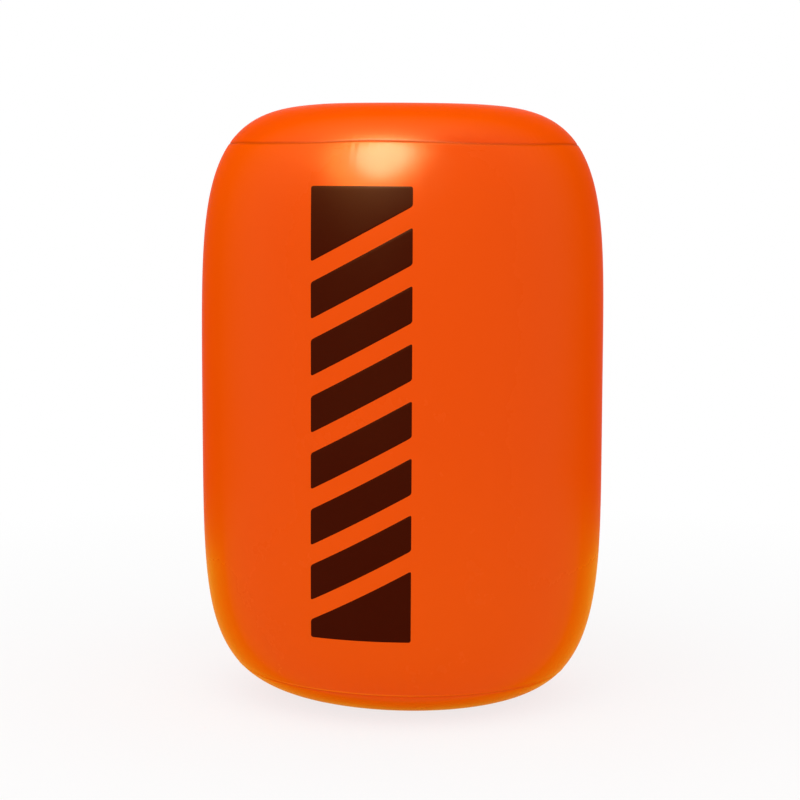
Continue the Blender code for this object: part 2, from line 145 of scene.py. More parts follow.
print("half way up:", float(smooth_step(0.5)), "and one width off:", round(float(bell(1, 1)), 2))

# %% [markdown]
# ## The curve from the top to the dish
# The curve is a row of points from the top pole, down the wall and under the foot. The length
# along it then serves as a ruler: a weld, the valve and every row of the mesh is placed by it.

# %% The outline's curve
CURVE_POINTS = 1500         # on a quarter of the outline's loop
CURVE_START = 0.001         # radians by which the sweep stays short of its two ends
SLOPE_POINTS = 200          # on the dish's slope


def bag_outline():
    """Radius and height of the outline from the top pole to the middle of the dish.

    Facing f: tan t = (b/a tan f) to the power n/(2n-2), r = a cos t to the power 2/n, and
    z = b sin t to the power 2/n.
    """
    sweep = np.linspace(CURVE_START, np.pi - CURVE_START, CURVE_POINTS)
    facing = np.pi / 4 * (1 - np.cos(sweep))
    power = SHOULDER_POWER / (2 * (SHOULDER_POWER - 1))
    turn = np.arctan((HALF_HEIGHT / HALF_WIDTH * np.tan(facing)) ** power)
    radius = HALF_WIDTH * np.cos(turn) ** (2 / SHOULDER_POWER)
    height = HALF_HEIGHT * np.sin(turn) ** (2 / SHOULDER_POWER)
    under = radius > FOOT_RADIUS
    share = np.linspace(0, 1, SLOPE_POINTS)
    slope_radius = DISH_RADIUS + (DISH_FLAT_RADIUS - DISH_RADIUS) * share
    slope_height = DISH_DEPTH * smooth_step(share)
    radii = [[0.0], radius[::-1], radius[under], [FOOT_RADIUS], slope_radius, [0.0]]
    above = MIDDLE + height[::-1]
    below = MIDDLE - height[under]
    heights = [[bag_high.z], above, below, [0.0], slope_height, [DISH_DEPTH]]
    return np.concatenate(radii), np.concatenate(heights)


outline_r, outline_z = bag_outline()
outline_s = np.concatenate([[0.0], np.cumsum(np.hypot(np.diff(outline_r), np.diff(outline_z)))])
tangent_r = np.gradient(outline_r, outline_s)
tangent_z = np.gradient(outline_z, outline_s)
tangent_size = np.hypot(tangent_r, tangent_z)
OUTLINE_LENGTH = outline_s[-1]
upper_part = outline_z > MIDDLE
lower_part = ~upper_part & (outline_r > FOOT_RADIUS)
TOP_WELD = np.interp(TOP_DISC_RADIUS, outline_r[upper_part], outline_s[upper_part])
BOTTOM_WELD = np.interp(-BOTTOM_DISC_RADIUS, -outline_r[lower_part], outline_s[lower_part])
print("length of the outline, m:", round(OUTLINE_LENGTH, 3))
print("the welds along it, m:", round(TOP_WELD, 3), round(BOTTOM_WELD, 3))

# %% [markdown]
# ## The valve's place
# A moulded flange is stiffer than the cloth, so the wall lies flat behind it. The valve gets a
# frame of its own: z points out of the wall, y up along it, and its origin is the middle of the
# flat seat. The wall's surface is then pressed down to that seat round the valve.

# %% The valve's place
VALVE_AZIMUTH = math.radians(108.0)
VALVE_DROP = 0.120          # below the top weld
FLANGE_RADIUS = 0.032
FLANGE_LIP = 0.0005
PRESS_REACH = 0.030         # over which the wall comes up again round the seat

SEAT_RADIUS = FLANGE_RADIUS + SEAT_GAP
SEAT_DEPTH = HALF_WIDTH - math.sqrt(HALF_WIDTH**2 - SEAT_RADIUS**2) + FLANGE_LIP


def valve_frame():
    """Matrix of the seat: on the outline at the valve's height, pushed in by the seat's depth."""
    weld_height = np.interp(TOP_WELD, outline_s, outline_z) - MIDDLE
    height = weld_height - VALVE_DROP
    radius = HALF_WIDTH * (1 - (height / HALF_HEIGHT) ** SHOULDER_POWER) ** (1 / SHOULDER_POWER)
    along = (radius / HALF_WIDTH) ** (SHOULDER_POWER - 1) / HALF_WIDTH
    up = (height / HALF_HEIGHT) ** (SHOULDER_POWER - 1) / HALF_HEIGHT
    facing = math.atan2(up, along)
    around = Vector((math.cos(VALVE_AZIMUTH), math.sin(VALVE_AZIMUTH), 0))
    outward = around * math.cos(facing) + Vector((0, 0, math.sin(facing)))
    across = Vector((0, 0, 1)).cross(around)
    matrix = Matrix((across, outward.cross(across), outward)).transposed().to_4x4()
    matrix.translation = around * radius + Vector((0, 0, MIDDLE + height)) - outward * SEAT_DEPTH
    return matrix


VALVE = valve_frame()
print("valve seat at, m:", [round(value, 4) for value in VALVE.translation])

# %% [markdown]
# ## Relief: the welds
# A perfect shell would look like a computer's. Where each end disc is welded on, the bars of the
# welding press leave a pinched line with a slight swelling on both sides, and fine puckers run out
# of it, because a flat disc has more cloth at its rim than the wall has room for.

# %% Relief: the welds
FULL_TURN = 2 * np.pi
FRONT = -math.pi / 2        # the turn that faces the camera
CREASE_DEPTH = 0.0006
CREASE_WIDTH = 0.0016
LIP_HEIGHT = 0.00006        # the skin swells a little on both sides of the crease
LIP_WIDTH = 0.0050
LIP_PLACE = 2.2             # in lip widths from the crease
PUCKER_HEIGHT = 0.00009
PUCKER_REACH = 0.020
PUCKER_COUNT = 6            # places round the weld where the cloth is gathered most
PUCKER_TURN = FRONT - 0.22  # the middle of one of them
PUCKER_REST = 0.15          # strength between them
PUCKER_WAVES = 121          # gathers round a weld
PUCKER_BUNCHES = 7          # places where they crowd together
PUCKER_BUNCHING = 2.0       # radians of a wave by which they are moved there
FINE_WAVES = 187            # finer gathers over them
FINE_SHARE = 0.6
FINE_SHIFT = 1.7


def round_gap(turn, middle):
    """Angle from middle to turn, the short way round."""
    return (turn - middle + np.pi) % FULL_TURN - np.pi


def puckers(turn):
    """Fine gathers round a weld: two fast waves whose strength comes and goes."""
    bunched = PUCKER_WAVES * turn + PUCKER_BUNCHING * np.sin(PUCKER_BUNCHES * turn)
    fast = np.sin(bunched) + FINE_SHARE * np.sin(FINE_WAVES * turn + FINE_SHIFT)
    slow = 0.5 + 0.5 * np.cos(PUCKER_COUNT * (turn - PUCKER_TURN))
    return fast * (PUCKER_REST + (1 - PUCKER_REST) * slow * slow)


def weld_relief(turn, gap):
    """Crease, lips and puckers at a distance gap along the skin from a weld."""
    crease = -CREASE_DEPTH * bell(gap, CREASE_WIDTH)
    lips = LIP_HEIGHT * bell(np.abs(gap) - LIP_PLACE * LIP_WIDTH, LIP_WIDTH)
    fade = np.exp(-np.abs(gap) / PUCKER_REACH) * smooth_step(np.abs(gap) / LIP_WIDTH)
    return crease + lips + PUCKER_HEIGHT * puckers(turn) * fade


print("depth of a weld's crease, mm:", round(-1000 * float(weld_relief(FRONT, 0.0)), 2))

# %% [markdown]
# ## Relief: the lap and the slow waves
# The wall is one sheet rolled into a tube, so at the back its two edges overlap and a strip of
# double cloth runs from weld to weld. The air inside can't pull the cloth quite even either, which
# leaves waves of half a millimetre. They are what makes a reflection on the wall look alive.

# %% Relief: the lap and the slow waves
LAP_TURN = math.radians(72.0)
LAP_WIDTH = 0.025
LAP_THICKNESS = 0.0009
LAP_RAMP = 0.0008
SWELL_HEIGHT = 0.0005
SWELL_START = 0.25          # lengths over which the waves come and go at the two ends
SWELL_STOP = 0.20
SWELL_ROUND = 3             # waves round the wall
SWELL_TWIST = 5             # radians that they turn on their way down to the lower weld
SWELL_UP = 6                # radians of the wave along the wall
CROSS_ROUND = 5             # a second set, which twists the other way
CROSS_TWIST = 7
CROSS_SHIFT = 1
CROSS_SHARE = 0.6


def wall_share(along):
    """1 on the wall between the two welds, 0 beyond them."""
    start = smooth_step((along - TOP_WELD) / LIP_WIDTH)
    return start * smooth_step((BOTTOM_WELD - along) / LIP_WIDTH)


def past_lap(turn):
    """Length round the wall from the lap's nearer edge. It is negative on the lap."""
    return np.abs(round_gap(turn, LAP_TURN)) * HALF_WIDTH - LAP_WIDTH / 2


def lap_relief(turn, along):
    """The wall's lapped joint: one thickness of cloth between two edges."""
    step = 1 - smooth_step(past_lap(turn) / LAP_RAMP + 0.5)
    return LAP_THICKNESS * step * wall_share(along)


def swell(turn, along):
    """Slow unevenness of the wall, gone at the poles and the foot: two sets of crossing waves."""
    share = along / BOTTOM_WELD
    waves = np.sin(SWELL_ROUND * turn + SWELL_TWIST * share) * np.sin(SWELL_UP * share)
    cross = np.sin(CROSS_ROUND * turn - CROSS_TWIST * share + CROSS_SHIFT)
    waves = waves + CROSS_SHARE * cross
    fade = smooth_step(along / SWELL_START) * smooth_step((BOTTOM_WELD - along) / SWELL_STOP)
    return SWELL_HEIGHT * waves * fade


wall_middle = (TOP_WELD + BOTTOM_WELD) / 2
print("the lap stands out by, mm:", round(1000 * float(lap_relief(LAP_TURN, wall_middle)), 2))

# %% [markdown]
# ## The skin as one formula
# Two faults of this buoy's making show in the photograph: the top weld climbs and wavers a little
# at the front, and the lower end was welded on slightly out of square. The first bends the ruler,
# and the second bends the shape. The result is one formula that turns two numbers, the turn round
# the axis and the length along the outline, into a point of the skin. The print uses it too.

# %% The skin as one formula
WELD_CLIMB = 0.0054         # how far the top weld rises at the front
WELD_CLIMB_TURN = FRONT - 0.070
WELD_CLIMB_WIDTH = 0.32     # radians
WELD_REACH = 0.045          # how far along the skin the climb is felt
WELD_DRIFTS = ((9, 0, 0.0004), (14, 2, 0.0002))     # its line wavers: waves, shift and height
LOWER_WELD_SHIFT = 2        # radians between the lower weld's puckers and the upper one's
BEAD_HEIGHT = 0.0005        # the lower weld's turned edge
BEAD_WIDTH = 0.0014
BEAD_PLACE = 2 * BEAD_WIDTH     # above the weld's crease
RELIEF_FADE = 0.03          # beyond the foot, over which the relief comes in
SKEW = 0.0224               # tilt of the lower end, radians
SKEW_BLEND = 0.070          # over which it fades out towards the foot


def bead(along):
    """The lower weld's turned edge, from 0 to 1."""
    return bell(along - BOTTOM_WELD + BEAD_PLACE, BEAD_WIDTH)


def press_to_valve(points):
    """Near the valve, move points along the seat's normal until they lie in the seat's plane."""
    normal = np.array(VALVE.col[2][:3])
    offset = points - np.array(VALVE.translation)
    height = offset @ normal
    reach = np.sqrt(np.maximum((offset**2).sum(-1) - height**2, 0))
    pull = 1 - smooth_step((reach - SEAT_RADIUS) / PRESS_REACH)
    pull = np.where(np.abs(height) < PRESS_REACH, pull, 0.0)
    return points - (height * pull)[..., None] * normal


def bag_surface(turn, along, lift=0.0):
    """Point of the skin at a turn round the axis and a length along the outline.

    The outline's point is moved along its normal by the relief and by lift, spun by the turn,
    and the lower end is tilted by height = height - x tan(skew).
    """
    climb = WELD_CLIMB * bell(round_gap(turn, WELD_CLIMB_TURN), WELD_CLIMB_WIDTH)
    for waves, shift, drift in WELD_DRIFTS:
        climb = climb + drift * np.sin(waves * turn + shift)
    place = along - climb * bell(along - TOP_WELD, WELD_REACH)
    radius = np.interp(place, outline_s, outline_r)
    height = np.interp(place, outline_s, outline_z)
    normal_r = -np.interp(place, outline_s, tangent_z / tangent_size)
    normal_z = np.interp(place, outline_s, tangent_r / tangent_size)
    relief = weld_relief(turn, along - TOP_WELD)
    relief = relief + weld_relief(turn + LOWER_WELD_SHIFT, along - BOTTOM_WELD)
    relief = relief + BEAD_HEIGHT * bead(along)
    relief = relief + lap_relief(turn, along) + swell(turn, along)
    relief = relief * smooth_step((radius - FOOT_RADIUS) / RELIEF_FADE)
    reach = radius + (relief + lift) * normal_r
    x = reach * np.cos(turn)
    y = reach * np.sin(turn)
    z = height + (relief + lift) * normal_z
    lowness = np.clip((MIDDLE - height) / HALF_HEIGHT, 0, 1) ** 2
    tilt = math.tan(SKEW) * lowness * smooth_step((radius - FOOT_RADIUS) / SKEW_BLEND)
    points = np.stack(np.broadcast_arrays(x, y, z - x * tilt), axis=-1)
    return press_to_valve(points)


front_middle = bag_surface(FRONT, wall_middle)
print("the front's middle, m:", [round(float(value), 4) for value in front_middle])

# %% [markdown]
# ## Grids that become meshes
# A surface is a table of points: rows along one parameter, columns along the other. Neighbouring
# points make four-sided faces. A table can wrap round in either direction, and an end that stays
# open is closed with a fan about one point. The signed volume shows whether the faces point out,
# and the whole table is turned over if they don't.

# %% Grids that become meshes
RULER_POINTS = 40000        # values at which a density is added up


def spaced(start, stop, count, density):
    """count values from start to stop, packed in proportion to density(value)."""
    fine = np.linspace(start, stop, RULER_POINTS)
    weight = np.concatenate([[0.0], np.cumsum(density((fine[1:] + fine[:-1]) / 2))])
    return np.interp(np.linspace(0, weight[-1], count), weight, fine)


def grid_faces(rows, columns, wrap_rows):
    """Corner numbers of the four-sided faces of a table whose columns wrap round."""
    count = rows if wrap_rows else rows - 1
    row, column = np.meshgrid(np.arange(count), np.arange(columns), indexing="ij")
    next_row = (row + 1) % rows
    next_column = (column + 1) % columns
    corners = (row, column), (next_row, column), (next_row, next_column), (row, next_column)
    return np.stack([r * columns + c for r, c in corners], axis=-1).reshape(-1, 4)


def outward(points, faces):
    """The faces, turned over if the signed volume of the fan from the origin is negative."""
    a, b, c, d = (points[faces[:, k]] for k in range(4))
    volume = (np.cross(b - a, c - a) * a).sum() + (np.cross(c - a, d - a) * a).sum()
    return faces[:, ::-1] if volume < 0 else faces


def make_piece(name, grid, wrap_rows=False, masks=None, sharp_deg=None, matrix=None):
    """A closed mesh from a (rows, columns, 3) table. Open ends get a fan about their middle.

    masks are tables of one number for each point, by name, for the materials to read.
    """
    rows, columns = grid.shape[:2]
    points = grid.reshape(-1, 3)
    faces = grid_faces(rows, columns, wrap_rows)
    if not wrap_rows:
        ends = np.array([grid[0].mean(0), grid[-1].mean(0)])
        points = np.concatenate([points, ends])
        ring = np.arange(columns)
        after = (ring + 1) % columns
        start_pole = np.full(columns, rows * columns)
        start_fan = np.stack([start_pole, ring, after, after], axis=-1)
        last = (rows - 1) * columns
        end_fan = np.stack([start_pole + 1, last + after, last + ring, last + ring], axis=-1)
        faces = np.concatenate([faces, start_fan, end_fan])
    faces = outward(points, faces)
    corner_lists = [tuple(dict.fromkeys(face)) for face in faces.tolist()]
    if matrix is not None:
        points = points @ np.array(matrix.to_3x3()).T + np.array(matrix.translation)
    mesh = bpy.data.meshes.new(name)
    mesh.from_pydata(points.tolist(), [], corner_lists)
    mesh.update()
    mesh.shade_smooth()
    if sharp_deg is not None:
        mesh.set_sharp_from_angle(angle=math.radians(sharp_deg))
    for label, mask in (masks or {}).items():
        set_mask(mesh, label, mask)
    piece = new_object(name, mesh)
    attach(piece, "root")
    triangles = sum(len(polygon.vertices) - 2 for polygon in mesh.polygons)
    print(f"{name}: {triangles} triangles")
    return piece


def set_mask(mesh, label, mask):
    """Store one number for each point. The points of the two end fans, if any, get 0."""
    values = np.zeros(len(mesh.vertices), dtype=np.float32)
    values[:mask.size] = mask.ravel()
    mesh.attributes.new(label, "FLOAT", "POINT").data.foreach_set("value", values)


print("faces of a tube of 3 by 8 points:", len(grid_faces(3, 8, wrap_rows=False)))

# %% [markdown]
# ## Rows and columns of the skin
# An even table fine enough for a crease of 2 mm would need millions of faces. So its rows crowd
# together at the two welds, and its columns at the front, at the lapped joint and round the valve,
# where there is detail to hold. They spread out on the plain wall, and the skin stays under
# 200,000 triangles.

# %% Rows and columns of the skin
SKIN_ROWS = 216
SKIN_COLUMNS = 448
# Each crowd is how many rows or columns it adds to each plain one, and its half width.
CREASE_ROWS = (14, 0.006)   # metres along the skin
TOP_WELD_ROWS = (2, 0.03)
BOTTOM_WELD_ROWS = (1, 0.03)
LAP_EDGE_COLUMNS = (16, 0.008)  # radians round the axis
VALVE_COLUMNS = (1.2, 0.16)
FRONT_COLUMNS = 2.2
FRONT_HALF_TURN = 0.7       # radians to each side of the front's middle
FRONT_FADE = 0.3            # over which the front's columns give way to plain ones


def crowd(gap, share, width):
    """Points that a detail adds to each plain one, at a gap from it."""
    return share * bell(gap, width)


def row_density(along):
    """Rows per length: even, with more at the two welds."""
    top, bottom = along - TOP_WELD, along - BOTTOM_WELD
    density = 1.0 + crowd(top, *CREASE_ROWS) + crowd(bottom, *CREASE_ROWS)
    return density + crowd(top, *TOP_WELD_ROWS) + crowd(bottom, *BOTTOM_WELD_ROWS)


def column_density(turn):
    """Columns per angle: even, with more at the front, the lap's edges and the valve."""
    past_front = np.abs(round_gap(turn, FRONT)) - FRONT_HALF_TURN
    density = 1.0 + FRONT_COLUMNS * (1 - smooth_step(past_front / FRONT_FADE))
    edge = LAP_WIDTH / 2 / HALF_WIDTH
    for side in (-1, 1):
        density = density + crowd(round_gap(turn, LAP_TURN + side * edge), *LAP_EDGE_COLUMNS)
    return density + crowd(round_gap(turn, VALVE_AZIMUTH), *VALVE_COLUMNS)


skin_turn = spaced(0, FULL_TURN, SKIN_COLUMNS + 1, column_density)[:-1]
skin_along = spaced(0, OUTLINE_LENGTH, SKIN_ROWS + 2, row_density)[1:-1]
print("closest rows, mm:", round(1000 * float(np.diff(skin_along).min()), 2))

# %% [markdown]
# ## Marks on the skin
# Some things are colour or gloss and no form: dirt and shade in the creases, a painted highlight
# along the lower disc's turned edge, the smooth bands that the welding bars pressed, and painted
# shade that darkens the top disc. Each is stored on the skin's points as a number from 0 to 1, so
# that the material knows where it is and stays free of sizes.

# %% Marks on the skin
WELD_LINE_WIDTH = 0.0022    # the dark line that dirt and shade draw in a weld
LOWER_LINE_SHARE = 0.40     # the lower weld's line is fainter and thinner
LOWER_LINE_WIDTH = 0.0014
EDGE_HIGHLIGHT_TURN = FRONT - 0.45   # where the edge's painted highlight is brightest, and opposite
LAP_LINE_WIDTH = 0.0011     # shade and dirt along the lap's two edges
SEALED_WIDTH = 0.012        # each side of a weld, the cloth that the welding bars pressed smooth
SEALED_FADE = 0.0015


def skin_marks(turn, along):
    """The marks by name. turn is a row of angles, and along is a column of lengths."""
    everywhere = 0 * turn
    line = bell(along - TOP_WELD, WELD_LINE_WIDTH)
    line = line + LOWER_LINE_SHARE * bell(along - BOTTOM_WELD, LOWER_LINE_WIDTH)
    highlight_strength = (0.5 + 0.5 * np.cos(2 * (turn - EDGE_HIGHLIGHT_TURN))) ** 2
    weld_gap = np.minimum(np.abs(along - TOP_WELD), np.abs(along - BOTTOM_WELD))
    weld_band = 1 - smooth_step((weld_gap - SEALED_WIDTH) / SEALED_FADE)
    lap_band = wall_share(along) * (1 - smooth_step(past_lap(turn) / SEALED_FADE))
    lap_line = bell(past_lap(turn) - LAP_LINE_WIDTH, LAP_LINE_WIDTH)
    return {
        # painted shade: the top disc is darkened a little
        "top_disc_shade": smooth_step((TOP_WELD - along) / SEALED_FADE) + everywhere,
        "weld_line": line + everywhere,
        # painted highlight along the lower weld's turned edge, where it catches the light
        "weld_edge_highlight": bead(along) * highlight_strength,
        "lap_line": wall_share(along) * lap_line,
        "sealed": np.maximum(weld_band, lap_band),
    }


marks = skin_marks(skin_turn[None, :], skin_along[:, None])
print("marks:", {label: f"{mask.mean():.1%}" for label, mask in marks.items()})

# %% [markdown]
# ## The bag's skin
# The skin is the inflated cloth itself, and it takes the solid bag's place. It is one closed
# surface, so the light that falls on it behaves as on the real wall.

# %% The bag's skin
skin_grid = bag_surface(skin_turn[None, :], skin_along[:, None])
bag_skin = make_piece("bag_skin", skin_grid, masks=marks)
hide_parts("buoy_body")
print("lowest point of the skin, mm:", round(float(skin_grid[..., 2].min()) * 1000, 3))

# %% [markdown]
# ## The print
# A broad dark band of slanted bars runs up the front, a plain warning pattern in the ink's
# colour. Each bar is a thin film of ink on the skin: its outline is drawn flat, then every point
# is laid on the bag with the same surface formula as the skin, a tenth of a millimetre proud of
# it. The film turns down into the skin at its rim, so its edge is crisp in any light.

# %% The print's outline
PRINT_LEFT = -0.1266        # x of the band's sides
PRINT_RIGHT = 0.0133
PRINT_TOP = 0.765           # heights above the ground
PRINT_BOTTOM = 0.132
BAR_COUNT = 8
BAR_SHARE = 0.64            # of each step that is ink
BAR_SLANT = 0.55            # rise over run
BAR_CORNER = 0.003
INK_LIFT = 0.00012
INK_RIM = 0.0003            # width of the film's rounded rim
BAR_COLUMNS = 40
BAR_ROW_LENGTH = 0.004
FEWEST_BAR_ROWS = 6
PRINT_WIDTH = PRINT_RIGHT - PRINT_LEFT


def height_to_along(height):
    """Length along the outline at a height on the wall."""
    wall = outline_r > FOOT_RADIUS
    return np.interp(-height, -outline_z[wall], outline_s[wall])


def bar_grid(low, high, low_slant, high_slant):
    """Loop of film points: up across the outside, and back down under it.

    Across the band x goes from one side to the other. The bar's lower and upper edges are
    low + slant x and high + slant x, each drawn in near the sides by the corner's quarter circle.
    A point at x turns about the axis by the arc sine of x over the wall's radius there.
    """
    share = (1 - np.cos(np.linspace(0, np.pi, BAR_COLUMNS))) / 2
    x = PRINT_WIDTH * (share - 0.5)
    side = np.minimum(share, 1 - share) * PRINT_WIDTH
    inside = np.maximum(BAR_CORNER - side, 0)
    drawn = BAR_CORNER - np.sqrt(BAR_CORNER**2 - inside**2)
    bottom = low + low_slant * x + drawn
    top = high + high_slant * x - drawn
    rim = INK_RIM / (high - low)
    bar_rows = max(FEWEST_BAR_ROWS, int((high - low) / BAR_ROW_LENGTH))
    inner = np.linspace(rim, 1 - rim, bar_rows)
    rise = np.concatenate([[0.0], inner, [1.0], inner[::-1]])
    lift = np.concatenate([[0.0], 0 * inner + INK_LIFT, [0.0], 0 * inner - INK_LIFT])
    height = bottom[:, None] + (top - bottom)[:, None] * rise[None, :]
    along = height_to_along(height)
    across = (PRINT_LEFT + PRINT_RIGHT) / 2 + x[:, None]
    turn = FRONT + np.arcsin(across / np.interp(along, outline_s, outline_r))
    return bag_surface(turn, along, lift[None, :] + 0 * height)


print("the band's width, m:", round(PRINT_WIDTH, 4))

# %% [markdown]
# ## The bars of the band
# The bars are equal steps up the band, each leaning the same way. The first and the last are cut
# off level, so that the band ends square, as a printed or sprayed pattern does at its stencil.

# %% The bars of the band
def make_print():
    """The band's bars, bottom to top. The end bars have a level outer edge."""
    step = (PRINT_TOP - PRINT_BOTTOM) / BAR_COUNT
    bars = []
    for index in range(BAR_COUNT):
        low = PRINT_BOTTOM + step * (index + (1 - BAR_SHARE) / 2)
        high = low + step * BAR_SHARE
        slants = [BAR_SLANT, BAR_SLANT]
        if index == 0:
            low, slants[0] = PRINT_BOTTOM, 0.0
        if index == BAR_COUNT - 1:
            high, slants[1] = PRINT_TOP, 0.0
        bars.append(make_piece(f"print_bar_{index + 1}", bar_grid(low, high, *slants)))
    return bars


print_bars = make_print()

# %% [markdown]
# ## Turned pieces
# The valve, its plug, the patch, the eyelet and its washer are all round, so each is an outline
# spun about its own axis. The outline is a list of corners, and each corner that has a radius
# becomes a short arc. An outline that starts and ends on the axis is closed there; any other is a
# ring.

# %% Turned pieces
ARC_POINTS = 6
ON_AXIS = 1e-6              # a point nearer to the axis than this lies on it


def rounded(corners):
    """Outline through corners (x, y, fillet radius), each fillet an arc between its tangents."""
    points = []
    for index, (x, y, radius) in enumerate(corners):
        corner = np.array([x, y])
        if radius <= 0:
            points.append(corner[None])
            continue
        before = np.array(corners[index - 1][:2]) - corner
        after = np.array(corners[(index + 1) % len(corners)][:2]) - corner
        before = before / np.hypot(*before)
        after = after / np.hypot(*after)
        half = math.acos(np.clip(before @ after, -1, 1)) / 2
        middle = before + after
        centre = corner + middle / np.hypot(*middle) * radius / math.sin(half)
        start = corner + before * radius / math.tan(half) - centre
        end = corner + after * radius / math.tan(half) - centre
        first = math.atan2(start[1], start[0])
        swing = math.remainder(math.atan2(end[1], end[0]) - first, FULL_TURN)
        turn = first + swing * np.linspace(0, 1, ARC_POINTS)
        points.append(centre + radius * np.stack([np.cos(turn), np.sin(turn)], axis=-1))
    return np.concatenate(points)


def lathe(name, corners, sides, matrix=None, sharp_deg=35.0):
    """Spin an outline: x = r cos turn, y = r sin turn, z as it is."""
    outline = rounded(corners)
    on_axis = outline[0, 0] < ON_AXIS and outline[-1, 0] < ON_AXIS
    if on_axis:
        outline = outline[1:-1]
    turn = np.linspace(0, FULL_TURN, sides, endpoint=False)
    x = outline[:, None, 0] * np.cos(turn)
    y = outline[:, None, 0] * np.sin(turn)
    z = outline[:, None, 1] + 0 * turn
    grid = np.stack([x, y, z], axis=-1)
    return make_piece(name, grid, wrap_rows=not on_axis, matrix=matrix, sharp_deg=sharp_deg)


print("points in a rounded corner:", len(rounded([(0, 0, 0), (1, 0, 0.1), (1, 1, 0)])) - 2)

# %% [markdown]
# ## The valve
# The body is one moulding in soft plastic: a thin flange welded to the wall, a stem sunk inside
# and a short neck with a bead that holds the plug's ring. Two raised ribs round the flange show
# where the welding tool pressed.

# %% The valve
FLANGE_THICKNESS = 0.0016
RIB_HEIGHT = 0.0005
RIB_WIDTH = 0.0014
STEM_RADIUS = 0.0105
STEM_LENGTH = 0.024
BORE_RADIUS = 0.0070
NECK_RADIUS = 0.0105
NECK_HEIGHT = 0.0046
NECK_BEAD = 0.0009
NECK_BEAD_LENGTH = 0.0018
RIB_INSET = 0.0034          # from the flange's rim to the first of two ribs
RIB_SPACING = 0.0030
RIB_CROWN = 0.0007
FILLET = 0.0004
VALVE_SIDES = 128

FLANGE_TOP = SEAT_GAP + FLANGE_THICKNESS
NECK_TOP = FLANGE_TOP + NECK_HEIGHT
STEM_BOTTOM = SEAT_GAP - STEM_LENGTH


def valve_body_corners():
    """Stem, flange with two ribs, and beaded neck, clockwise from the bore's lower edge."""
    corners = [
        (BORE_RADIUS, STEM_BOTTOM, FILLET),
        (STEM_RADIUS, STEM_BOTTOM, FILLET),
        (STEM_RADIUS, SEAT_GAP, 0.0),
        (FLANGE_RADIUS, SEAT_GAP, 0.0),
        (FLANGE_RADIUS, FLANGE_TOP, FILLET * 2),
    ]
    outer_rib = FLANGE_RADIUS - RIB_INSET
    for middle in (outer_rib, outer_rib - RIB_SPACING):
        corners += [
            (middle + RIB_WIDTH / 2, FLANGE_TOP, FILLET / 2),
            (middle + RIB_CROWN / 2, FLANGE_TOP + RIB_HEIGHT, FILLET / 3),
            (middle - RIB_CROWN / 2, FLANGE_TOP + RIB_HEIGHT, FILLET / 3),
            (middle - RIB_WIDTH / 2, FLANGE_TOP, FILLET / 2),
        ]
    bead = NECK_RADIUS + NECK_BEAD
    return corners + [
        (NECK_RADIUS, FLANGE_TOP, FILLET),
        (NECK_RADIUS, NECK_TOP - NECK_BEAD_LENGTH - NECK_BEAD, FILLET),
        (bead, NECK_TOP - NECK_BEAD_LENGTH, FILLET),
        (bead, NECK_TOP, FILLET),
        (BORE_RADIUS, NECK_TOP, FILLET),
    ]


valve_moulding = lathe("valve_moulding", valve_body_corners(), VALVE_SIDES, VALVE)
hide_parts("valve_body")

# %% [markdown]
# ## The plug
# The plug is a second moulding. Its spigot has two swellings that seal in the bore and a narrower
# waist between them, and its head has a dish for the thumb. The bore's radius and the neck's top
# are the valve's own values, so the plug always fits.

# %% The plug
SPIGOT_LENGTH = 0.016
SPIGOT_CLEARANCE = 0.0003
SPIGOT_LEAD = 0.0024        # from either end of the spigot to its nearer sealing bead
SPIGOT_SLOPE = 0.0040
SPIGOT_WAIST = 0.0012
HEAD_OVERHANG = 0.0016
HEAD_THICKNESS = 0.0028
HEAD_EDGE = 0.0015
HEAD_SLOPE = 0.0036
THUMB_RADIUS = 0.0065
THUMB_SLOPE = 0.0016
THUMB_DEPTH = 0.0009

HEAD_BOTTOM = NECK_TOP + SEAT_GAP
HEAD_RADIUS = NECK_RADIUS + NECK_BEAD + HEAD_OVERHANG


def plug_corners():
    """Spigot with two sealing beads, then a head with a thumb dish in its top."""
    spigot = BORE_RADIUS - SPIGOT_CLEARANCE
    waist = spigot - SPIGOT_WAIST
    tip = HEAD_BOTTOM - SPIGOT_LENGTH
    top = HEAD_BOTTOM + HEAD_THICKNESS
    return [
        (0.0, tip, 0.0),
        (waist, tip, FILLET),
        (spigot, tip + SPIGOT_LEAD, FILLET * 2),
        (waist, tip + SPIGOT_LEAD + SPIGOT_SLOPE, FILLET),
        (waist, HEAD_BOTTOM - SPIGOT_LEAD - SPIGOT_SLOPE, FILLET),
        (spigot, HEAD_BOTTOM - SPIGOT_LEAD, FILLET),
        (spigot, HEAD_BOTTOM, 0.0),
        (HEAD_RADIUS, HEAD_BOTTOM, FILLET),
        (HEAD_RADIUS, HEAD_BOTTOM + HEAD_EDGE, FILLET * 2),
        (HEAD_RADIUS - HEAD_SLOPE, top, FILLET * 3),
        (THUMB_RADIUS, top, FILLET),
        (THUMB_RADIUS - THUMB_SLOPE, top - THUMB_DEPTH, FILLET * 2),
        (0.0, top - THUMB_DEPTH, 0.0),
    ]


plug_head = lathe("plug_head", plug_corners(), VALVE_SIDES, VALVE)
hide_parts("valve_plug")

# %% [markdown]
# ## The plug's ring and strap
# A strap keeps the plug from being lost. It leaves a loose ring round the neck, turns back on
# itself and runs into the head, all in one moulding with the plug.

# %% The plug's ring and strap
RING_WIDTH = 0.0026
RING_THICKNESS = 0.0016
STRAP_WIDTH = 0.0065
STRAP_THICKNESS = 0.0013
STRAP_REACH = 0.007
STRAP_LIFT = 0.0011
STRAP_BEND_POINTS = 33
STRAP_SIDE_POINTS = 10
STRAP_ROUND_POINTS = 28
STRAP_POWER = 6

RING_BOTTOM = FLANGE_TOP + SEAT_GAP
RING_BORE = NECK_RADIUS + SEAT_GAP
RING_RADIUS = RING_BORE + RING_WIDTH


